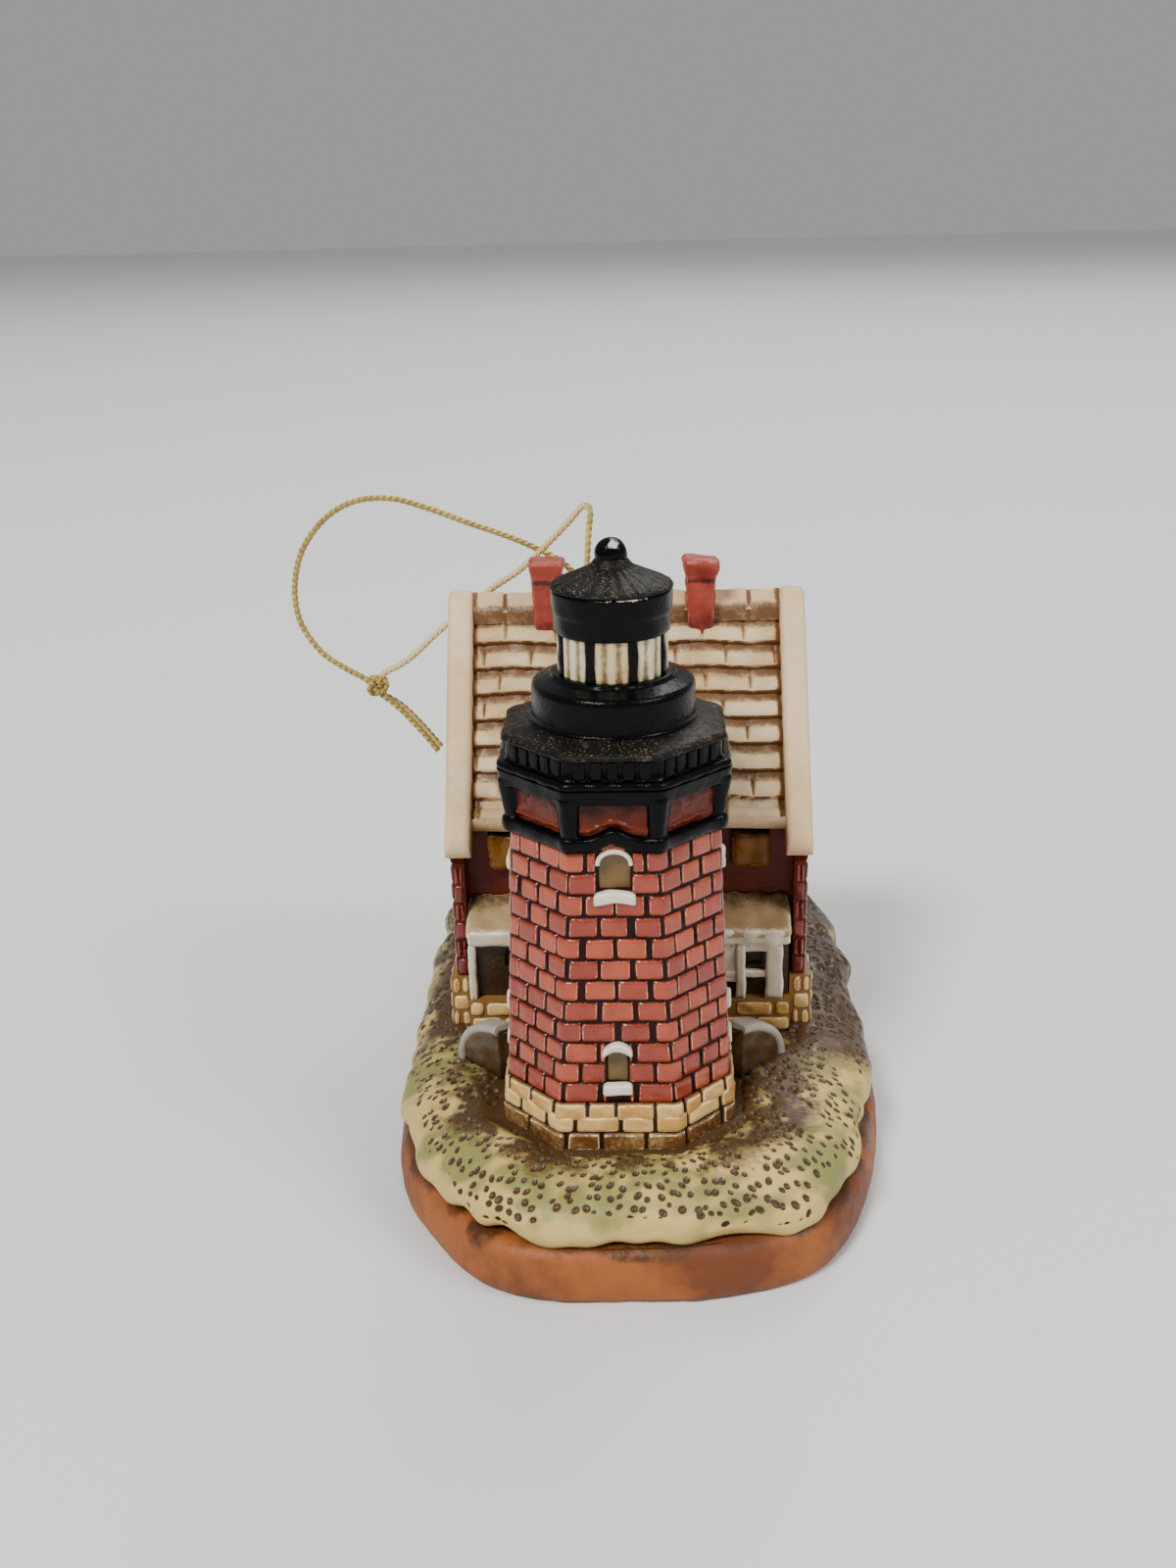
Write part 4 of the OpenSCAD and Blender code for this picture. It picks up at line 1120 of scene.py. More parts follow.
def tower_window_faces():
    """(face, sill top, arch springing, width) of each window of the tower."""
    for face in (0, 2, BACK_FACE, 6):
        if face != BACK_FACE:
            yield face, *LOWER_WINDOW
        yield face, *UPPER_WINDOW


def drooped(place, half, droop):
    """place with the ends of a piece bent down, by droop mm at a distance of half from its middle."""
    def bent(points):
        points = points.copy()
        points[..., 2] -= droop * (points[..., 0] / half) ** 2
        return place(points)
    return bent


def add_window_arch(shape, place, half, spring):
    """A thin moulding round the flat arch over a window."""
    turn = np.linspace(-0.05, math.pi + 0.05, 25)
    out = np.full(len(turn), 0.05)
    path = place(np.stack([-half * np.cos(turn), out, spring + 0.8 * half * np.sin(turn)], axis=1))
    outward = place(np.array([0, 1.0, 0])) - place(np.zeros(3))
    side = unit(np.cross(np.gradient(path, axis=0), outward))
    shape.add_sweep(path, side, np.broadcast_to(outward, side.shape), circle(1, 16) * (0.24, 0.4),
                    tone=0.3, wash=0.2, wear=0.4)


def make_tower_windows():
    """Glazed panes deep in their openings, a thin white arch or a drooping cap over them, and block sills."""
    panes, lintels, sills = Shape(), Shape(), Shape()
    for number, (face, sill, spring, width) in enumerate(tower_window_faces()):
        half = width / 2
        upper = sill == UPPER_WINDOW[0]
        place = on_face(face, shaft_width(spring), shaft_share(spring))
        panes.add_block((-half - 0.1, -RECESS - 0.25, sill - 0.3), (half + 0.1, -RECESS + 0.3, spring + half),
                        0.3, drooped(place, half, 0.3 * half), step=0.25, rough=0.06, seed=number,
                        wash=lambda p: 0.5 * bump(p[..., 0] / half - 1, 0.5))
        if upper:
            add_window_arch(lintels, place, half, spring)
        else:
            lintels.add_block((-half - 0.55, -0.5, spring + 0.35), (half + 0.55, 0.6, spring + 1.35), 0.36,
                              drooped(place, half, 0.38), step=0.3, rough=0.05, seed=number,
                              tone=0.2, wash=0.1)
        sills.add_block((-half - 0.5, -0.5, sill - 1.3), (half + 0.5, TRIM_RISE + 0.1, sill), 0.36,
                        drooped(place, half, 0.22 if upper else 0.05), step=0.35, rough=0.05, seed=number,
                        tone=0.2, wash=0.1)
    make_piece("tower_window_glass", panes, "olive", ["tower_window_panes"])
    make_piece("tower_window_arches", lintels, "white", ["tower_window_lintels"])
    make_piece("tower_window_ledges", sills, "white", ["tower_window_sills"])


def make_tower_foundation():
    """Soft cream stones over a dark core: one stained course in the ground and two pale ones above it."""
    foot, head = heights_mm("tower_foundation")
    wide = FOUNDATION_WIDTH * (1 - 2 * FOOT_SHARE)
    slanted = FOUNDATION_WIDTH * FOOT_SHARE * math.sqrt(2)
    corners = np.cumsum([0] + [wide, slanted] * 4)

    def width_at(height):
        return FOUNDATION_WIDTH - 0.5 * (height - foot) / (head - foot)

    wall = octagon_wall(corners, width_at, lambda height: FOOT_SHARE + 0 * height)
    stones = Shape()
    rng = np.random.default_rng(51)
    # Foot, head, number of stones and wash of each course
    courses = [
        (foot - 1.1, foot + 1.05, 18, 0.75),
        (foot + 1.1, foot + 3.1, 20, 0.1),
        (foot + 2.5, head + 0.15, 24, 0.1),
    ]
    for row, (bottom, top, count, wash) in enumerate(courses):
        edges = np.arange(count + 1) + 0.37 * row + 0.16 * rng.uniform(-1, 1, count + 1)
        edges = edges * corners[-1] / count
        edges[-1] = edges[0] + corners[-1]
        for number, (left, right) in enumerate(zip(edges, edges[1:])):
            stones.add_patch((left + 0.12, right - 0.12), (bottom, top), wall, rise=0.1 * rng.random(),
                             sink=0.4, edge=0.42, rough=0.1, seed=60 * row + number, tone=rng.random(),
                             wash=wash)
    make_piece("tower_stones", stones, "stone", ["tower_foundation"])
    core = Shape()
    u, v = np.meshgrid(np.linspace(0, corners[-1], 161), np.linspace(foot - 1.4, head - 0.05, 12))
    core.close_tube(core.add_grid(wall(u, v, np.full(u.shape, -0.25)), wash=0.6))
    make_piece("tower_stone_joints", core, "joint", ["tower_foundation"])


def rim_wave(around, height):
    """How far the corbel's lower rim rises over the middle of each wide face, in mm."""
    across = face_offset(around, height, lambda h: HEAD_WIDTH + 0 * h, lambda h: HEAD_SHARE + 0 * h)
    return 1.05 * bump(across, 1.5)


def corbel_width(height):
    """Width of the flaring corbel at a height."""
    return np.interp(height, [SHAFT_HEAD, CORBEL_WAIST, CORBEL_SHOULDER, CORBEL_TOP],
                     [HEAD_WIDTH + 0.2, HEAD_WIDTH + 0.5, GALLERY_WIDTH - 0.5, GALLERY_WIDTH])


def panel_reach(around, height):
    """1 inside the corbel's panels, 0 on the posts and rims, soft between."""
    face = np.floor(around)
    length = corbel_width(height) * np.where(face % 2 == 0, 1 - 2 * HEAD_SHARE, HEAD_SHARE * math.sqrt(2))
    across = np.abs(around - face - 0.5) * length
    inside = 1 - smooth_step(across, PANEL_HALF - 0.1, PANEL_HALF + 0.35)
    foot = PANEL_FOOT + rim_wave(around, height)
    inside = inside * smooth_step(height, foot - 0.1, foot + 0.3)
    return inside * (1 - smooth_step(height, PANEL_HEAD - 0.2, PANEL_HEAD + 0.25))


def corbel_points(around, height, out, rough_mm, grain_mm, seed):
    """Hand-made points of the corbel, some way out from its plain flaring octagon."""
    flat, outward = octagon_points(around, corbel_width(height), HEAD_SHARE, 0.06)
    points = raised(TOWER + flat + outward * out[..., None], height)
    points[..., :2] += (rough_mm * ripple(points, grain_mm, seed))[..., None] * outward
    return points


def make_corbel_frame():
    """The flaring black frame of posts, with its wavy round rim."""
    share, around = np.meshgrid(np.linspace(0, 1, 64), face_places(34), indexing="ij")
    foot = SHAFT_HEAD - 0.1 + rim_wave(around, SHAFT_HEAD)
    height = foot + (CORBEL_TOP + 0.1 - foot) * share
    inside = panel_reach(around, height)
    rim = 0.45 * np.sqrt(np.clip(1 - ((height - foot - 0.85) / 0.88) ** 2, 0, 1))
    face = np.floor(around)
    corner = np.minimum(around - face, 1 - around + face)
    post = 0.3 * bump(corner, 0.09)
    out = rim + post * (1 - smooth_step(height, CORBEL_TOP - 1.2, CORBEL_TOP - 0.6)) - 0.95 * inside
    points = corbel_points(around, height, out, 0.03, 1.4, 61)
    shape = Shape()
    shape.close_tube(shape.add_grid(points, tone=0.3, wash=0.6 * inside, wear=0.1))
    make_piece("corbel_black_frame", shape, "black", ["corbel_frame"])


def make_corbel_panels():
    """The glazed red-brown panels set back in the corbel's frame."""
    shape = Shape()
    for number in range(8):
        across = number + 0.5 + np.linspace(-0.42, 0.42, 40)
        share, around = np.meshgrid(np.linspace(0, 1, 40), across, indexing="ij")
        foot = PANEL_FOOT - 0.4 + rim_wave(around, SHAFT_HEAD)
        height = foot + (PANEL_HEAD + 0.15 - foot) * share
        arch = bump(height - foot - 1.15, 0.32) * smooth_step(PANEL_HEAD - height, 0.4, 1.2)
        pool = bump(height - foot, 0.35)
        points = corbel_points(around, height, -0.72 + 0.3 * arch + 0.15 * pool, 0.12, 1.1, 62)
        # Painted shade: each panel is darker at its top, under the frame.
        wash = 0.6 * (1 - arch) * bump(share - 1, 0.3)
        shape.close_back(shape.add_grid(points, tone=0.5 - 0.5 * arch, wash=wash, wear=0.8 * arch))
    make_piece("corbel_glazed_panels", shape, "panel", ["corbel_panels"])


def make_deck():
    """The gallery's floor, with a rubbed round edge."""
    foot, head = heights_mm("gallery_deck")
    shape = Shape()
    profile = soften([(0, foot), (GALLERY_WIDTH - 0.6, foot), (GALLERY_WIDTH, foot + 0.3),
                      (GALLERY_WIDTH, head - 0.3), (GALLERY_WIDTH - 0.6, head), (0, head)], 0.35)
    add_octagon(shape, refine(profile, 1.5), 24,
                relief=lambda a, w, h: (0.04 * np.sin(a * 23) * (w > 5), 0 * h),
                tone=0.5, wear=lambda a, w, h: 0.75 * bump(w - GALLERY_WIDTH, 0.4))
    make_piece("gallery_black_deck", shape, "black", ["gallery_deck"])


def make_parapet():
    """The plain wall round the gallery, and the blocks that stand against it."""
    deck = heights_mm("gallery_deck")[1]
    head = heights_mm("gallery_parapet")[1]
    shape = Shape()
    profile = np.array([(0, deck), (PARAPET_WIDTH + 0.5, deck), (PARAPET_WIDTH, deck + 0.35),
                        (PARAPET_WIDTH, head), (0, head)])
    add_octagon(shape, refine(profile, 1.2), 20, tone=0.2, wash=0.6)
    make_piece("gallery_parapet_wall", shape, "black", ["gallery_parapet"])

    balusters = Shape()
    for face in range(8):
        place = on_face(face, PARAPET_WIDTH, HEAD_SHARE)
        for number in range(BALUSTERS):
            across = (number - (BALUSTERS - 1) / 2) * BALUSTER_PITCH
            balusters.add_block((across - BALUSTER_WIDTH / 2, -0.3, deck - 0.1),
                                (across + BALUSTER_WIDTH / 2, 0.26, head + 0.1), 0.22, place,
                                step=0.35, rough=0.05, seed=8 * face + number, tone=0.5)
    make_piece("gallery_baluster_blocks", balusters, "black", ["gallery_balusters"])


def make_rail():
    """The dusty rail that slopes up from the parapet to the watch room."""
    foot, head = heights_mm("gallery_rail")
    rim = width_mm("gallery_rail")
    shape = Shape()
    profile = soften([(0, foot), (rim - 0.7, foot), (rim, foot + 0.15), (rim - 0.1, foot + 0.55),
                      (PARAPET_WIDTH, foot + 0.85), (2 * DRUM_RADIUS + 0.9, head), (0, head)], 0.3)
    add_octagon(shape, refine(profile, 1.0), 26, tone=0.6,
                relief=lambda a, w, h: (0.05 * np.sin(a * 17 + h) * (w > 5), 0.02 * np.sin(a * 31)),
                wear=lambda a, w, h: 0.85 * bump(w - rim, 0.45))
    make_piece("gallery_dusty_rail", shape, "dusty_black", ["gallery_rail"])


def make_drum():
    """The round watch room, with a shoulder up to the lantern's foot."""
    foot, head = heights_mm("watch_room_drum")
    profile = soften([(0, foot), (DRUM_RADIUS + 0.28, foot), (DRUM_RADIUS, foot + 0.35),
                      (DRUM_RADIUS, head - 1.6), (DRUM_RADIUS - 0.25, head - 1.1),
                      (DRUM_RADIUS - 0.9, head - 0.9), (LANTERN_RADIUS + 0.75, head - 0.55),
                      (LANTERN_RADIUS + 0.5, head - 0.1), (0, head)], 0.3)

    def relief(a, r, h):
        return 0.03 * np.sin(5 * a) + 0.12 * np.sin(9 * a + 2 * np.sin(4 * a)) * bump(h - head, 0.4)

    shape = Shape()
    shape.add_lathe(TOWER, refine(profile, 0.4), 144, relief=relief,
                    wear=lambda a, r, h: 0.5 * bump(h - head + 1.2, 0.25))
    make_piece("watch_room_black_drum", shape, "black", ["watch_room_drum"])


def make_lantern_panes():
    """The lantern's glazing: a core with three pale ribs between each two mullions."""
    foot, head = heights_mm("lantern_glazing")
    inner = LANTERN_RADIUS - 0.42

    def ribs(angle, r, h):
        across = (np.degrees(angle) + 22.5) / 45 % 1 - 0.5
        outer_ribs = 0.8 * bump(across - 0.3, 0.12) + 0.8 * bump(across + 0.3, 0.12)
        return (bump(across, 0.12) * 1.1 + outer_ribs) * (r > 3)

    profile = np.array([(0, foot - 0.3), (inner, foot - 0.3), (inner, head + 0.2), (0, head + 0.2)])
    shape = Shape()
    shape.add_lathe(TOWER, refine(profile, 0.4), 640, relief=lambda a, r, h: 0.26 * ribs(a, r, h),
                    wash=lambda a, r, h: np.clip(1 - ribs(a, r, h), 0, 1) * 0.95 + 0.15 * bump(h - foot, 0.6),
                    tone=lambda a, r, h: 0.5 + 0.3 * np.sin(3 * a))
    make_piece("lantern_ribbed_panes", shape, "lantern", ["lantern_glazing"])


def make_mullions():
    """The eight upright bars of the lantern."""
    foot, head = heights_mm("lantern_glazing")
    shape = Shape()
    for number in range(8):
        turn = math.radians(45 * number + 22.5)
        outward = np.array([math.cos(turn), math.sin(turn)])
        place = turned(TOWER, outward, np.array([-outward[1], outward[0]]))
        shape.add_block((LANTERN_RADIUS - 0.9, -0.5, foot - 0.2), (LANTERN_RADIUS + 0.02, 0.5, head + 0.2),
                        0.3, place, step=0.3, rough=0.07, seed=number)
    make_piece("lantern_black_mullions", shape, "black", ["lantern_mullions"])


def make_eave_band():
    """The black band under the lantern's roof, with chipped paint on its upper edge."""
    foot, head = heights_mm("lantern_eave_band")
    profile = soften([(0, foot - 0.25), (LANTERN_RADIUS + 0.02, foot - 0.25),
                      (LANTERN_RADIUS + 0.15, foot + 0.2), (LANTERN_RADIUS + 0.2, foot + 1.8),
                      (LANTERN_RADIUS + 0.36, foot + 2.1), (ROOF_RADIUS - 0.1, head), (0, head)], 0.3)

    def chips(a, r, h):
        return 0.95 * bump(h - head, 0.35) * (0.5 + 0.5 * np.cos(3 * (a - CHIP_ANGLE)))

    shape = Shape()
    shape.add_lathe(TOWER, refine(profile, 0.3), 192, wear=chips,
                    relief=lambda a, r, h: 0.03 * np.sin(11 * a + h) * (r > 3))
    make_piece("lantern_black_eave", shape, "chipped_black", ["lantern_eave_band"])


def make_cone():
    """The lantern's ribbed conical roof."""
    foot, head = heights_mm("lantern_roof")
    profile = soften([(0, foot), (ROOF_RADIUS - 0.1, foot), (ROOF_RADIUS, foot + 0.25),
                      (ROOF_RADIUS - 0.5, foot + 0.6), (3.6, foot + 1.6), (2.3, head - 0.1),
                      (1.85, head + 0.5), (1.5, head + 0.85), (0, head + 0.85)], 0.5)

    def relief(a, r, h):
        return 0.1 * np.cos(ROOF_RIBS * a) * smooth_step(r, 1.8, 3.4) * (h > foot + 0.4)

    shape = Shape()
    shape.add_lathe(TOWER, refine(profile, 0.15), 384, relief=relief,
                    wear=lambda a, r, h: 0.3 + 0.25 * np.cos(ROOF_RIBS * a),
                    wash=lambda a, r, h: 0.3 - 0.3 * np.cos(ROOF_RIBS * a))
    make_piece("lantern_ribbed_cone", shape, "dusty_black", ["lantern_roof"])


def make_ball():
    """The finial, on a short neck, with a chip in its paint."""
    foot, head = heights_mm("finial_ball")
    radius = width_mm("finial_ball") / 2
    turn = np.linspace(-0.75, math.pi / 2, 28)
    ball = np.stack([radius * np.cos(turn), head - radius + radius * np.sin(turn)], axis=1)
    neck = np.array([(0, foot - 0.2), (radius + 0.12, foot - 0.2), (radius + 0.1, foot + 0.05)])

    def wear(a, r, h):
        return 0.75 * bump(h - foot, 0.2) + 1.1 * bump(h - head + 0.5, 0.6) * bump(a - CHIP_ANGLE, 0.8)

    shape = Shape()
    shape.add_lathe(TOWER, np.concatenate([neck, ball]), 64, wear=wear,
                    relief=lambda a, r, h: 0.04 * np.sin(3 * a + 2 * h) * (r > 0.3))
    make_piece("finial_black_ball", shape, "chipped_black", ["finial_ball"])


# ---------------------------------------------------------------- house

def flat_wall(corner, heading, outward):
    """place(across, height, out) on an upright flat wall that runs from a corner of the house."""
    corner, heading, outward = (np.array(v, float) for v in (corner, heading, outward))

    def place(u, height, out):
        return raised(corner + u[..., None] * heading + out[..., None] * outward, height)
    return place


def roof_height(y, sink=0.0):
    """Height of the roof's outer plane over a place y, lowered square to its slope."""
    return RIDGE_HEIGHT - np.abs(y - RIDGE_Y) * math.tan(PITCH) - sink / math.cos(PITCH)


def lay_courses(shape, place, length, foot, head, course, brick, joint, seed, skip=None, top=None, **patch):
    """Bricks or stones in running bond over a wall; skip(u, v) leaves places out and top(u) cuts them."""
    rng = np.random.default_rng(seed)
    rows = round((head - foot) / course)
    course = (head - foot) / rows
    count = max(1, round(length / brick))
    brick = length / count
    for row in range(rows):
        base = foot + row * course
        edges = np.arange(count + 1) * brick + (row % 2) * brick / 2
        edges = np.unique(np.clip(np.concatenate([[0], edges]), 0, length))
        edges[1:-1] += 0.06 * brick * rng.uniform(-1, 1, len(edges) - 2)
        for number, (left, right) in enumerate(zip(edges, edges[1:])):
            middle = (left + right) / 2
            if right - left < 0.2 * brick or (skip and skip(middle, base + course / 2)):
                continue
            if top and max(top(left), top(right)) < base + 0.5:
                continue

            def cut(u, v, out):
                return (out, np.minimum(v, np.maximum(top(u), base))) if top else (out, v)

            shape.add_patch((left + joint / 2, right - joint / 2),
                            (base + joint / 3, base + course - joint / 3), place,
                            seed=37 * row + number, tone=rng.random(), bend=cut, **patch)


def gable_walls():
    """(place, length, function from a place along it to y) of the house's two gable walls."""
    low, high = box_mm("house_walls")
    yield flat_wall((high[0], low[1]), (0, 1), (1, 0)), high[1] - low[1], lambda u: low[1] + u
    yield flat_wall((low[0], high[1]), (0, -1), (-1, 0)), high[1] - low[1], lambda u: high[1] - u


def near_gable_window(y, z):
    """Whether a place on a gable wall is in or beside a window."""
    return any(abs(y - middle) < WINDOW_HALF + WINDOW_MARGIN and sill - 1.3 < z < spring + WINDOW_HALF + 1.2
               for middle, sill, spring in SIDE_WINDOWS)


def near_back_window(x, z):
    """Whether a place on the back wall is in or beside a window."""
    low, high = BACK_WINDOW_GAP
    beside = any(abs(x - HOUSE_X - middle) < WINDOW_HALF + WINDOW_MARGIN for middle in BACK_WINDOWS_X)
    return beside and low < z < high


def make_house_walls():
    """Glazed red bricks over the CAD walls, which show as the mortar."""
    low, high = box_mm("house_walls")
    bricks = Shape()
    for place, length, y_at in gable_walls():
        lay_courses(bricks, place, length, low[2], RIDGE_HEIGHT - 4, WALL_COURSE, WALL_BRICK, WALL_JOINT, 71,
                    skip=lambda u, z: near_gable_window(y_at(u), z),
                    top=lambda u: roof_height(y_at(u), ROOF_THICKNESS + 0.1), **BRICK_FORM)
    back = flat_wall((high[0] - WING, BACK_WALL), (-1, 0), (0, 1))
    lay_courses(bricks, back, high[0] - low[0] - 2 * WING, low[2],
                roof_height(BACK_WALL, ROOF_THICKNESS + 0.3), WALL_COURSE, WALL_BRICK, WALL_JOINT, 72,
                skip=lambda u, z: near_back_window(high[0] - WING - u, z), **BRICK_FORM)
    for left in (low[0] + 0.05, high[0] - WING + 0.05):
        for facing, y in ((-1, low[1]), (1, high[1])):
            start = left if facing < 0 else left + WING - 0.1
            wall = flat_wall((start, y), (-facing, 0), (0, facing))
            lay_courses(bricks, wall, WING - 0.1, low[2], roof_height(y, ROOF_THICKNESS + 0.2), WALL_COURSE,
                        5, 0.05, 74, **WING_BRICK_FORM)
    make_piece("house_bricks", bricks, "wall_brick", [])


def make_stones():
    """Cream stones over the CAD foundations of the house and the porch."""
    low, high = box_mm("house_foundation")
    stones = Shape()
    width, depth = (high - low)[:2]
    walls = [((high[0], low[1]), (0, 1), (1, 0), depth), ((low[0], high[1]), (0, -1), (-1, 0), depth),
             ((high[0], high[1]), (-1, 0), (0, 1), width)]
    for number, (corner, heading, outward, length) in enumerate(walls):
        lay_courses(stones, flat_wall(corner, heading, outward), length, low[2] - 0.4, high[2], STONE_COURSE,
                    STONE_LENGTH, STONE_JOINT, 81 + number, **STONE_FORM)
    porch_low, porch_high = box_mm("porch_base")
    front = flat_wall((porch_low[0], porch_low[1]), (1, 0), (0, -1))
    lay_courses(stones, front, porch_high[0] - porch_low[0], porch_low[2] - 0.3, porch_high[2], STONE_COURSE,
                STONE_LENGTH, STONE_JOINT, 85,
                skip=lambda u, z: abs(porch_low[0] + u - TOWER[0]) < FOUNDATION_WIDTH / 2 - 1, **STONE_FORM)
    for start in (low[0], high[0] - WING - 0.8):
        wall = flat_wall((start, low[1]), (1, 0), (0, -1))
        lay_courses(stones, wall, WING + 0.8, low[2] - 0.4, high[2], STONE_COURSE, 4, STONE_JOINT, 86,
                    **WING_STONE_FORM)
    make_piece("foundation_stones", stones, "stone", [])


def spread(x, height):
    """x moved outward a little towards the ridge, as the roof's gables lean apart."""
    rise = np.clip((height - EAVE_HEIGHT) / (RIDGE_HEIGHT - EAVE_HEIGHT), 0, 1)
    reach = np.abs(x - HOUSE_X) / ROOF_HALF
    return x + np.where(x < HOUSE_X, -ROOF_SPREAD[-1], ROOF_SPREAD[1]) * rise * reach ** 4


def slope_place(side):
    """place(x, along, out) on the roof's front (side -1) or rear (side 1) slope, along from the ridge."""
    def place(x, along, out):
        y = RIDGE_Y + side * (along * math.cos(PITCH) + out * math.sin(PITCH))
        z = RIDGE_HEIGHT - along * math.sin(PITCH) + out * math.cos(PITCH)
        return np.stack([spread(x, z), y, z], axis=-1)
    return place


def shingle_relief(x, along, seed):
    """Height and darkening of the shingles: courses with thick round butts, split by tapering cracks. The
    darkening is painted shade under each butt, under the ridge cap and beside the gable boards, and dark
    glaze in the cracks.
    """
    flat = np.stack([x, along, np.full(x.shape, 10.0 * seed)], axis=-1)
    course = SLOPE_LENGTH / SHINGLE_COURSES
    wavy = along + 0.28 * ripple(flat * (1, 0.4, 1), 5, 91)
    number = np.clip(np.floor(wavy / course), 0, SHINGLE_COURSES - 1)
    part = wavy / course - number
    below_cap = number > 0
    log = np.sqrt(np.clip(1 - ((part - 0.7) / 0.36) ** 2, 0, 1)) * below_cap
    out = -SHINGLE_STEP - 0.1 + 0.25 * part * below_cap + (SHINGLE_STEP + 0.02) * log
    chance = np.random.default_rng(92 + seed).random((SHINGLE_COURSES, 64))
    # Painted shade: dark at the top of each course, under the butt above it, and over the whole top course
    # under the ridge cap.
    wash = 0.85 * (1 - smooth_step(part, 0, 0.75) * below_cap) * (1 - 0.6 * (number == SHINGLE_COURSES - 1))
    # Painted shade: a dark line along the foot of each butt.
    wash = np.maximum(wash, 1.1 * smooth_step(part, 0.95, 1.0) * below_cap)
    row = number.astype(int)
    for split in range(-SHINGLE_SPLITS, SHINGLE_SPLITS + 1):
        shift, gape = chance[row, split + 20], chance[row, split + 40]
        center = HOUSE_X + (split + 0.5 * (row % 2)) * SHINGLE_WIDTH + 1.5 * (shift - 0.5)
        width = 0.08 + 0.3 * (1 - part) * (0.6 + 0.8 * gape)
        crack = bump(x - center, width) * (1 - smooth_step(part, 0.85, 1.0))
        out = out - 0.55 * crack * (0.3 + 0.7 * log)
        wash = np.maximum(wash, 0.95 * bump(x - center, 1.35 * width) * (1 - 0.6 * part))
    # Painted shade where the slopes meet the gable boards.
    beside = ROOF_HALF - np.abs(x - HOUSE_X)
    wash = np.maximum(wash, bump(beside, 0.7))
    out = out - 0.35 * bump(beside, 0.35) + 0.05 * ripple(flat, 1.2, 93)
    return out, wash


def make_roof_slope(name, node, side):
    """One slope of the roof, with shingles above, a thick rounded eave and a plain underside."""
    x_places = HOUSE_X + np.linspace(-ROOF_HALF, ROOF_HALF, 250)
    along, x = np.meshgrid(np.linspace(RIDGE_GAP, SLOPE_LENGTH, 230), x_places, indexing="ij")
    out, wash = shingle_relief(x, along, 1 if side > 0 else 0)
    # The cord's hole is a shallow dent; painted shade darkens it like a deep hole.
    hole = bump(np.hypot(x - HOLE[0], RIDGE_HEIGHT - along * math.sin(PITCH) - HOLE[2]), 0.62)
    out = out - 1.5 * hole
    wash = np.maximum(wash, hole)
    turn = np.linspace(math.pi / 2, -math.pi / 2, 14)[1:]
    half = ROOF_THICKNESS / 2
    drop = 0.35 * ripple(np.stack([x[0], 0 * x[0], 0 * x[0]], axis=-1), 7, 94)
    eave_along = SLOPE_LENGTH - 0.9 + (1.3 + drop)[None, :] * np.cos(turn)[:, None]
    eave_out = -half - 0.1 + (half + 0.1) * np.sin(turn)[:, None] + 0 * eave_along
    under = np.ones((1, x.shape[1]))
    along = np.concatenate([along[:-EAVE_ROWS], eave_along, RIDGE_GAP * under])
    out = np.concatenate([out[:-EAVE_ROWS], eave_out, -ROOF_THICKNESS * under])
    wash = np.concatenate([wash[:-EAVE_ROWS], np.zeros(eave_along.shape), 0.4 * under])
    x = np.broadcast_to(x[:1], along.shape)
    points = slope_place(side)(x, along, out)
    if side < 0:
        points, wash = points[::-1], wash[::-1]
    shape = Shape()
    wear = np.clip(0.6 - wash, 0, 1)
    tone = 0.4 + 0.35 * ripple(points, 5, 95)
    shape.close_sides(shape.add_grid(points, tone=tone, wash=wash, wear=wear))
    shape.add_grid(points[[-1, 0]], wash=0.5)
    make_piece(name, shape, "shingle", [node])


def make_ridge():
    """The capping over both slopes: a soft saddle in a few lengths, with the cord's hole in its flanks."""
    low, high = box_mm("roof_ridge")
    half = (high - low)[1] / 2
    section = soften([(-half - 0.2, -1.2), (-half - 0.1, 0.45), (-0.5, 0.1), (0.5, 0.1), (half + 0.1, 0.45),
                      (half + 0.2, -1.2)], 0.6)
    x_places = np.linspace(low[0], high[0], 220)
    offset, x = np.meshgrid(section[:, 0], x_places, indexing="ij")
    lift = np.broadcast_to(section[:, 1:], x.shape)
    joint = bump((x - low[0]) / RIDGE_TILE % 1 - 0.5, 0.04)
    height = RIDGE_HEIGHT - np.abs(offset) * math.tan(PITCH) * 0.92 + lift - 0.25 * joint
    points = np.stack([spread(x, height), RIDGE_Y + offset * (1 - 0.05 * joint), height], axis=-1)
    points[..., 2] += 0.08 * ripple(points, 2.2, 97)
    # The cord's hole is a shallow dent; painted shade darkens it like a deep hole.
    hole = bump(np.hypot(x - HOLE[0], points[..., 2] - HOLE[2]), 0.7)
    points[..., 1] -= np.sign(offset) * 1.2 * hole
    beside = np.minimum(x - low[0], high[0] - x)
    # Painted shade along the cap's lower edges over the shingles; the joints between tiles and the ends are
    # dark too.
    edge = 0.7 * smooth_step(np.abs(offset), half - 0.9, half)
    wash = np.maximum.reduce([joint, hole, bump(beside, 0.6), edge])
    shape = Shape()
    shape.close_sides(shape.add_grid(points[::-1], tone=0.4, wash=wash[::-1], wear=0.3))
    shape.add_grid(points[[0, -1]], wash=0.5)
    make_piece("roof_ridge_cap", shape, "shingle", ["roof_ridge"])


def rounded_rectangle(width, height, radius, steps=5):
    """Loop of points round a rectangle with rounded corners, anticlockwise."""
    turn = np.linspace(0, math.pi / 2, steps + 1)
    points = []
    for quarter, (right, up) in enumerate([(1, 1), (-1, 1), (-1, -1), (1, -1)]):
        angle = turn + quarter * math.pi / 2
        corner = np.array([right * (width / 2 - radius), up * (height / 2 - radius)])
        points.append(corner + radius * np.stack([np.cos(angle), np.sin(angle)], axis=1))
    return np.concatenate(points)


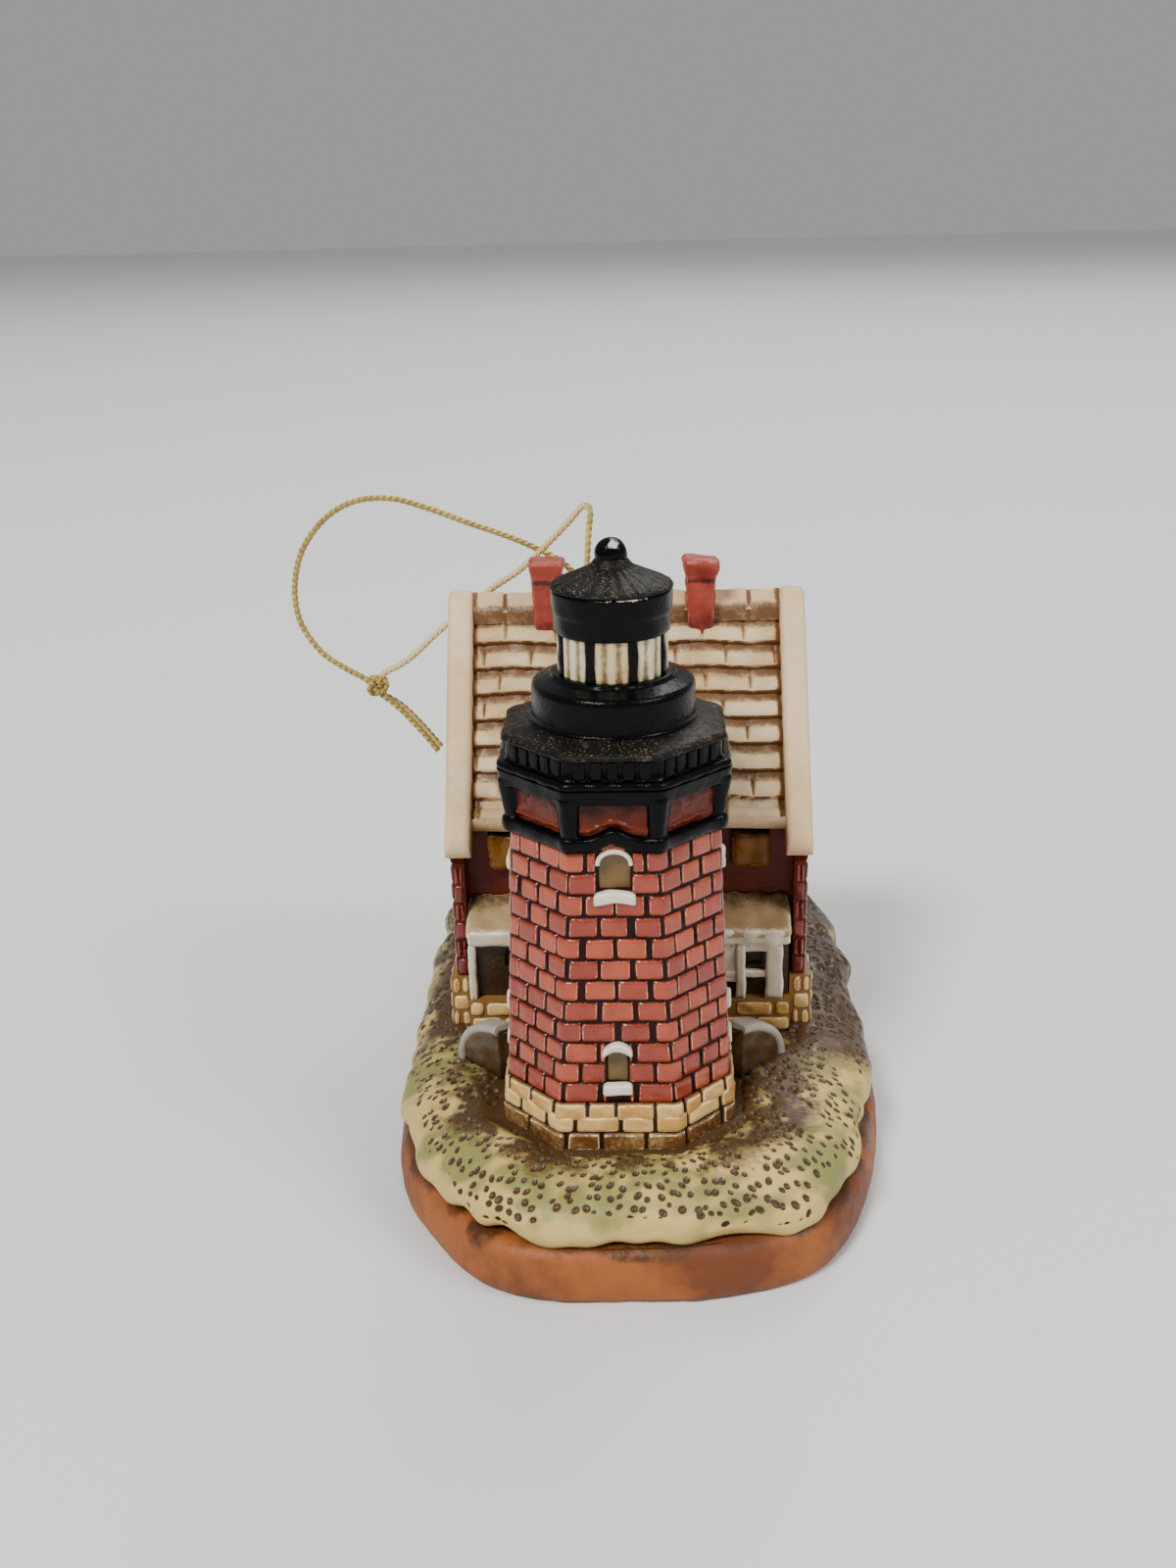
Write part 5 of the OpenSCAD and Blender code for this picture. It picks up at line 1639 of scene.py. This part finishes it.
def make_gable_board(name, node):
    """A thick painted board that follows both slopes, with round ends and a soft peak."""
    low, high = box_mm(node)
    middle = (low[0] + high[0]) / 2
    thick = ROOF_THICKNESS + BOARD_RISE
    sink = (ROOF_THICKNESS - BOARD_RISE) / 2
    end = SLOPE_LENGTH + BOARD_OVERHANG - thick / 2
    foot_y = end * math.cos(PITCH) - sink * math.sin(PITCH)
    foot_z = -end * math.sin(PITCH) - sink * math.cos(PITCH)
    line = refine(soften([(-foot_y, foot_z), (0, -sink / math.cos(PITCH)), (foot_y, foot_z)], 0.8, 10), 0.45)
    reach = np.linspace(0, 1, 9)[1:] * thick / 2
    first = line[0] + unit(line[0] - line[1]) * reach[::-1, None]
    last = line[-1] + unit(line[-1] - line[-2]) * reach[:, None]
    flat = np.concatenate([first, line, last])
    taper = np.sqrt(np.clip(1 - (reach / (thick / 2)) ** 2, 0.02, 1))
    scale = np.concatenate([taper[::-1], np.ones(len(line)), taper])
    height = RIDGE_HEIGHT + flat[:, 1]
    side_x = np.sign(middle - HOUSE_X)
    lean = spread(HOUSE_X + side_x * ROOF_HALF, height) - (HOUSE_X + side_x * ROOF_HALF)
    path = np.column_stack([middle + lean, RIDGE_Y + flat[:, 0], height])
    side = np.tile((1.0, 0, 0), (len(path), 1))
    rise = unit(np.cross(side, np.gradient(path, axis=0)))
    section = refine(rounded_rectangle(high[0] - low[0], thick, 0.75), 0.5)
    loop = np.concatenate([section, section[:1]])
    across = side[:, None, :] * loop[None, :, :1]
    upward = rise[:, None, :] * (loop[None, :, 1:] * scale[:, None, None])
    points = path[:, None, :] + across + upward
    points += (0.07 * ripple(points, 4, 98))[..., None] * rise[:, None, :]
    # Painted shade on the board's inner face, beside the shingles.
    inner = smooth_step((middle - points[..., 0]) * side_x, 1.1, 1.6)
    tone = 0.4 + 0.3 * ripple(points, 8, 99)
    shape = Shape()
    shape.close_tube(shape.add_grid(points[::-1], tone=tone[::-1], wash=0.7 * inner[::-1], wear=0.3))
    make_piece(name, shape, "board", [node])


def make_chimney(name, node):
    """A short painted brick stack that flares to a thick cap."""
    low, high = box_mm(node)
    middle = (low + high) / 2
    half = CHIMNEY_WIDTH / 2
    cap_foot = high[2] - CHIMNEY_CAP

    def flare(points):
        height = points[..., 2:]
        wider = 0.84 + 0.14 * smooth_step(height, low[2], cap_foot)
        wider = wider + 0.2 * smooth_step(height, cap_foot - 0.3, cap_foot + 1) + 0.02 * np.sin(height * 2.6)
        flat = middle[:2] + (points[..., :2] - middle[:2]) * wider - (CHIMNEY_LEAN, 0)
        return raised(flat, points[..., 2])

    def wash(points):
        height = points[..., 2]
        # Darker in a band under the cap and towards the foot.
        return 0.7 * bump(height - cap_foot + 0.5, 0.5) + 0.5 * (1 - smooth_step(height, *CHIMNEY_DARK_FOOT))

    shape = Shape()
    shape.add_block((middle[0] - half, middle[1] - half, low[2]),
                    (middle[0] + half, middle[1] + half, high[2]), 0.5, flare, step=0.3, rough=0.12,
                    seed=len(name), wash=wash)
    make_piece(name, shape, "chimney", [node])


def make_front_windows():
    """Two thick glazed brown boxes, rounded at their feet."""
    low, high = box_mm("front_windows")
    shape = Shape()
    width = 2 * FRONT_WINDOW_HALF
    for number, left in enumerate((low[0], high[0] - width)):
        # Painted shade: each window darkens towards its top, under the eave.
        shape.add_block((left, low[1], low[2]), (left + width, high[1], high[2]), 0.7, step=0.3, rough=0.1,
                        seed=number, wash=lambda p: 0.6 * bump(p[..., 2] - high[2], 1.0))
    make_piece("front_glazed_windows", shape, "brown", ["front_windows"])


# ---------------------------------------------------------------- porch and steps

def make_porch_posts():
    """White posts at the porch's ends, a panel beside the inner one and a lintel between the right two."""
    low, high = box_mm("porch_posts")

    def wash(points):
        height = points[..., 2]
        return 0.8 * bump(height - low[2], 1.0) + 0.4 * bump(height - high[2], 0.6)

    shape = Shape()
    for number, (x, half) in enumerate(POSTS):
        shape.add_block((x - half, low[1], low[2] - 0.2), (x + half, high[1] + 0.3, high[2] + 0.2), 0.4,
                        step=0.4, rough=0.08, seed=number, wash=wash)
    shape.add_block((INNER_POST - PANEL_WIDTH, low[1] + 0.5, low[2] + 2),
                    (INNER_POST, high[1] + 0.6, high[2] + 0.2), 0.3, step=0.4, rough=0.1, seed=4,
                    wash=lambda p: 0.6 * bump(p[..., 0] - INNER_POST + 1.2, 0.5))
    shape.add_block((INNER_POST, low[1] + 0.2, high[2] - 1), (CORNER_POST, high[1] + 0.3, high[2] + 0.2), 0.3,
                    step=0.4, rough=0.08, seed=5)
    make_piece("porch_white_posts", shape, "white", ["porch_posts"])


def make_porch_rails():
    """The rail from the panel to the corner post."""
    low, high = box_mm("porch_rails")
    shape = Shape()
    shape.add_block((INNER_POST - PANEL_WIDTH, low[1], low[2]), (CORNER_POST, high[1], high[2]), 0.35,
                    step=0.4, rough=0.07, seed=6, wash=0.2)
    make_piece("porch_white_rails", shape, "white", ["porch_rails"])


def beside_tower(left, right):
    """The two stretches of the porch that aren't behind the tower, each a little way in behind it."""
    yield left, TOWER[0] - FOUNDATION_WIDTH / 2 + BEHIND_TOWER
    yield TOWER[0] + FOUNDATION_WIDTH / 2 - BEHIND_TOWER, right


def make_porch_beam():
    """The soft white beam under the front edge of the porch's roof."""
    low, high = box_mm("porch_beam")
    shape = Shape()
    for number, (left, right) in enumerate(beside_tower(low[0], high[0])):
        shape.add_block((left, low[1], low[2]), (right, high[1], high[2]), 0.6, step=0.4, rough=0.1,
                        seed=number, wash=lambda p: 0.3 * bump(p[..., 2] - low[2], 0.5))
    make_piece("porch_white_beam", shape, "white", ["porch_beam"])


def make_porch_roof():
    """The porch's small dusty roof, which falls to its front edge."""
    low, high = box_mm("porch_roof")

    def slant(points):
        points = points.copy()
        part = (points[..., 1] - low[1]) / (high[1] - low[1])
        fall = (1 - part) * (high[2] - PORCH_EAVE)
        points[..., 2] -= fall * smooth_step(points[..., 2], low[2] + 1, high[2] - 0.5)
        return points

    shape = Shape()
    for number, (left, right) in enumerate(beside_tower(low[0], high[0])):
        shape.add_block((left, low[1] - 0.1, low[2] + 0.4), (right, high[1], high[2]), 0.7, slant, step=0.4,
                        rough=0.1, seed=number,
                        wash=lambda p: 0.6 * smooth_step(p[..., 1], low[1] + 0.8, high[1] - 0.5))
    make_piece("porch_dusty_roof", shape, "tan", ["porch_roof"])


def make_step_wall(name, place):
    """A dark glazed cheek wall whose top curves down to its far end."""
    def curved(points):
        points = points.copy()
        part = np.clip(points[..., 0] / STEP_LENGTH, 0, 0.995)
        points[..., 2] *= np.sqrt(1 - part ** 2)
        return place(points)

    shape = Shape()
    shape.add_block((0.8, 0.05, -0.6),
                    (STEP_LENGTH - COPING / 2, STEP_THICK - 0.05, STEP_HEIGHT - COPING / 2), 0.3, curved,
                    step=0.4, rough=0.08, wash=lambda p: 0.8 * bump(p[..., 2] + 0.3, 1.2))
    make_piece(f"step_glazed_wall_{name}", shape, "dark_brown", [f"step_wall_{name}"])


def make_step_coping(name, place, side, aside):
    """The pale rounded coping along the top of a cheek wall."""
    turn = np.linspace(0.12, math.pi / 2 + 0.1, 40)
    along = (STEP_LENGTH - COPING / 2) * np.sin(turn)
    height = (STEP_HEIGHT - COPING / 2) * np.cos(turn)
    path = place(np.column_stack([along, np.full(len(turn), STEP_THICK / 2), height]))
    across = np.tile(np.append(aside, 0), (len(turn), 1))
    rise = unit(np.cross(np.gradient(path, axis=0), across))
    section = rounded_rectangle(STEP_THICK + 0.5, COPING * 1.25, 0.5)
    shape = Shape()
    shape.add_sweep(path, -across, -side * rise, section, wash=0.15, wear=0.4)
    make_piece(f"step_pale_coping_{name}", shape, "coping", [f"step_coping_{name}"])


def make_steps():
    """Curved cheek walls beside the tower's foot, with their copings."""
    for side, name in ((-1, "left"), (1, "right")):
        start = np.array([TOWER[0] + side * (FOUNDATION_WIDTH / 2 + 0.6), TOWER[1] - 0.4])
        heading = np.array([side * math.cos(STEP_ANGLE), math.sin(STEP_ANGLE)])
        aside = np.array([-side * math.sin(STEP_ANGLE), math.cos(STEP_ANGLE)])
        place = turned(start, heading, aside, GROUND)
        make_step_wall(name, place)
        make_step_coping(name, place, side, aside)


def finish_cad_nodes():
    """Paint and softened edges for the CAD parts that show as they are."""
    for node, paint in KEPT_NODES.items():
        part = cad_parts[node]
        part.data.materials.clear()
        part.data.materials.append(PAINTS[paint])
        bevel = part.modifiers.new("soft_edges", "BEVEL")
        bevel.width = SOFT_EDGE * MM
        bevel.segments = 2
        bevel.limit_method = "ANGLE"


make_plinth()
make_mound("grass_front", 0.26, 0.74, 760, 0.18)
make_mound("grass_rear", 0.74, 1.26, 420, 0.3)
make_tower_foundation()
make_tower_shaft()
make_tower_windows()
make_corbel_frame()
make_corbel_panels()
make_deck()
make_parapet()
make_rail()
make_drum()
make_lantern_panes()
make_mullions()
make_eave_band()
make_cone()
make_ball()
make_house_walls()
make_stones()
make_roof_slope("roof_front_shingles", "roof_front_slope", -1)
make_roof_slope("roof_rear_shingles", "roof_back_slope", 1)
make_ridge()
for end in ("left", "right"):
    make_gable_board(f"gable_board_painted_{end}", f"gable_board_{end}")
for end in ("left", "right"):
    make_chimney(f"chimney_stack_{end}", f"chimney_{end}")
make_front_windows()
make_porch_posts()
make_porch_rails()
make_porch_beam()
make_porch_roof()
make_steps()
finish_cad_nodes()
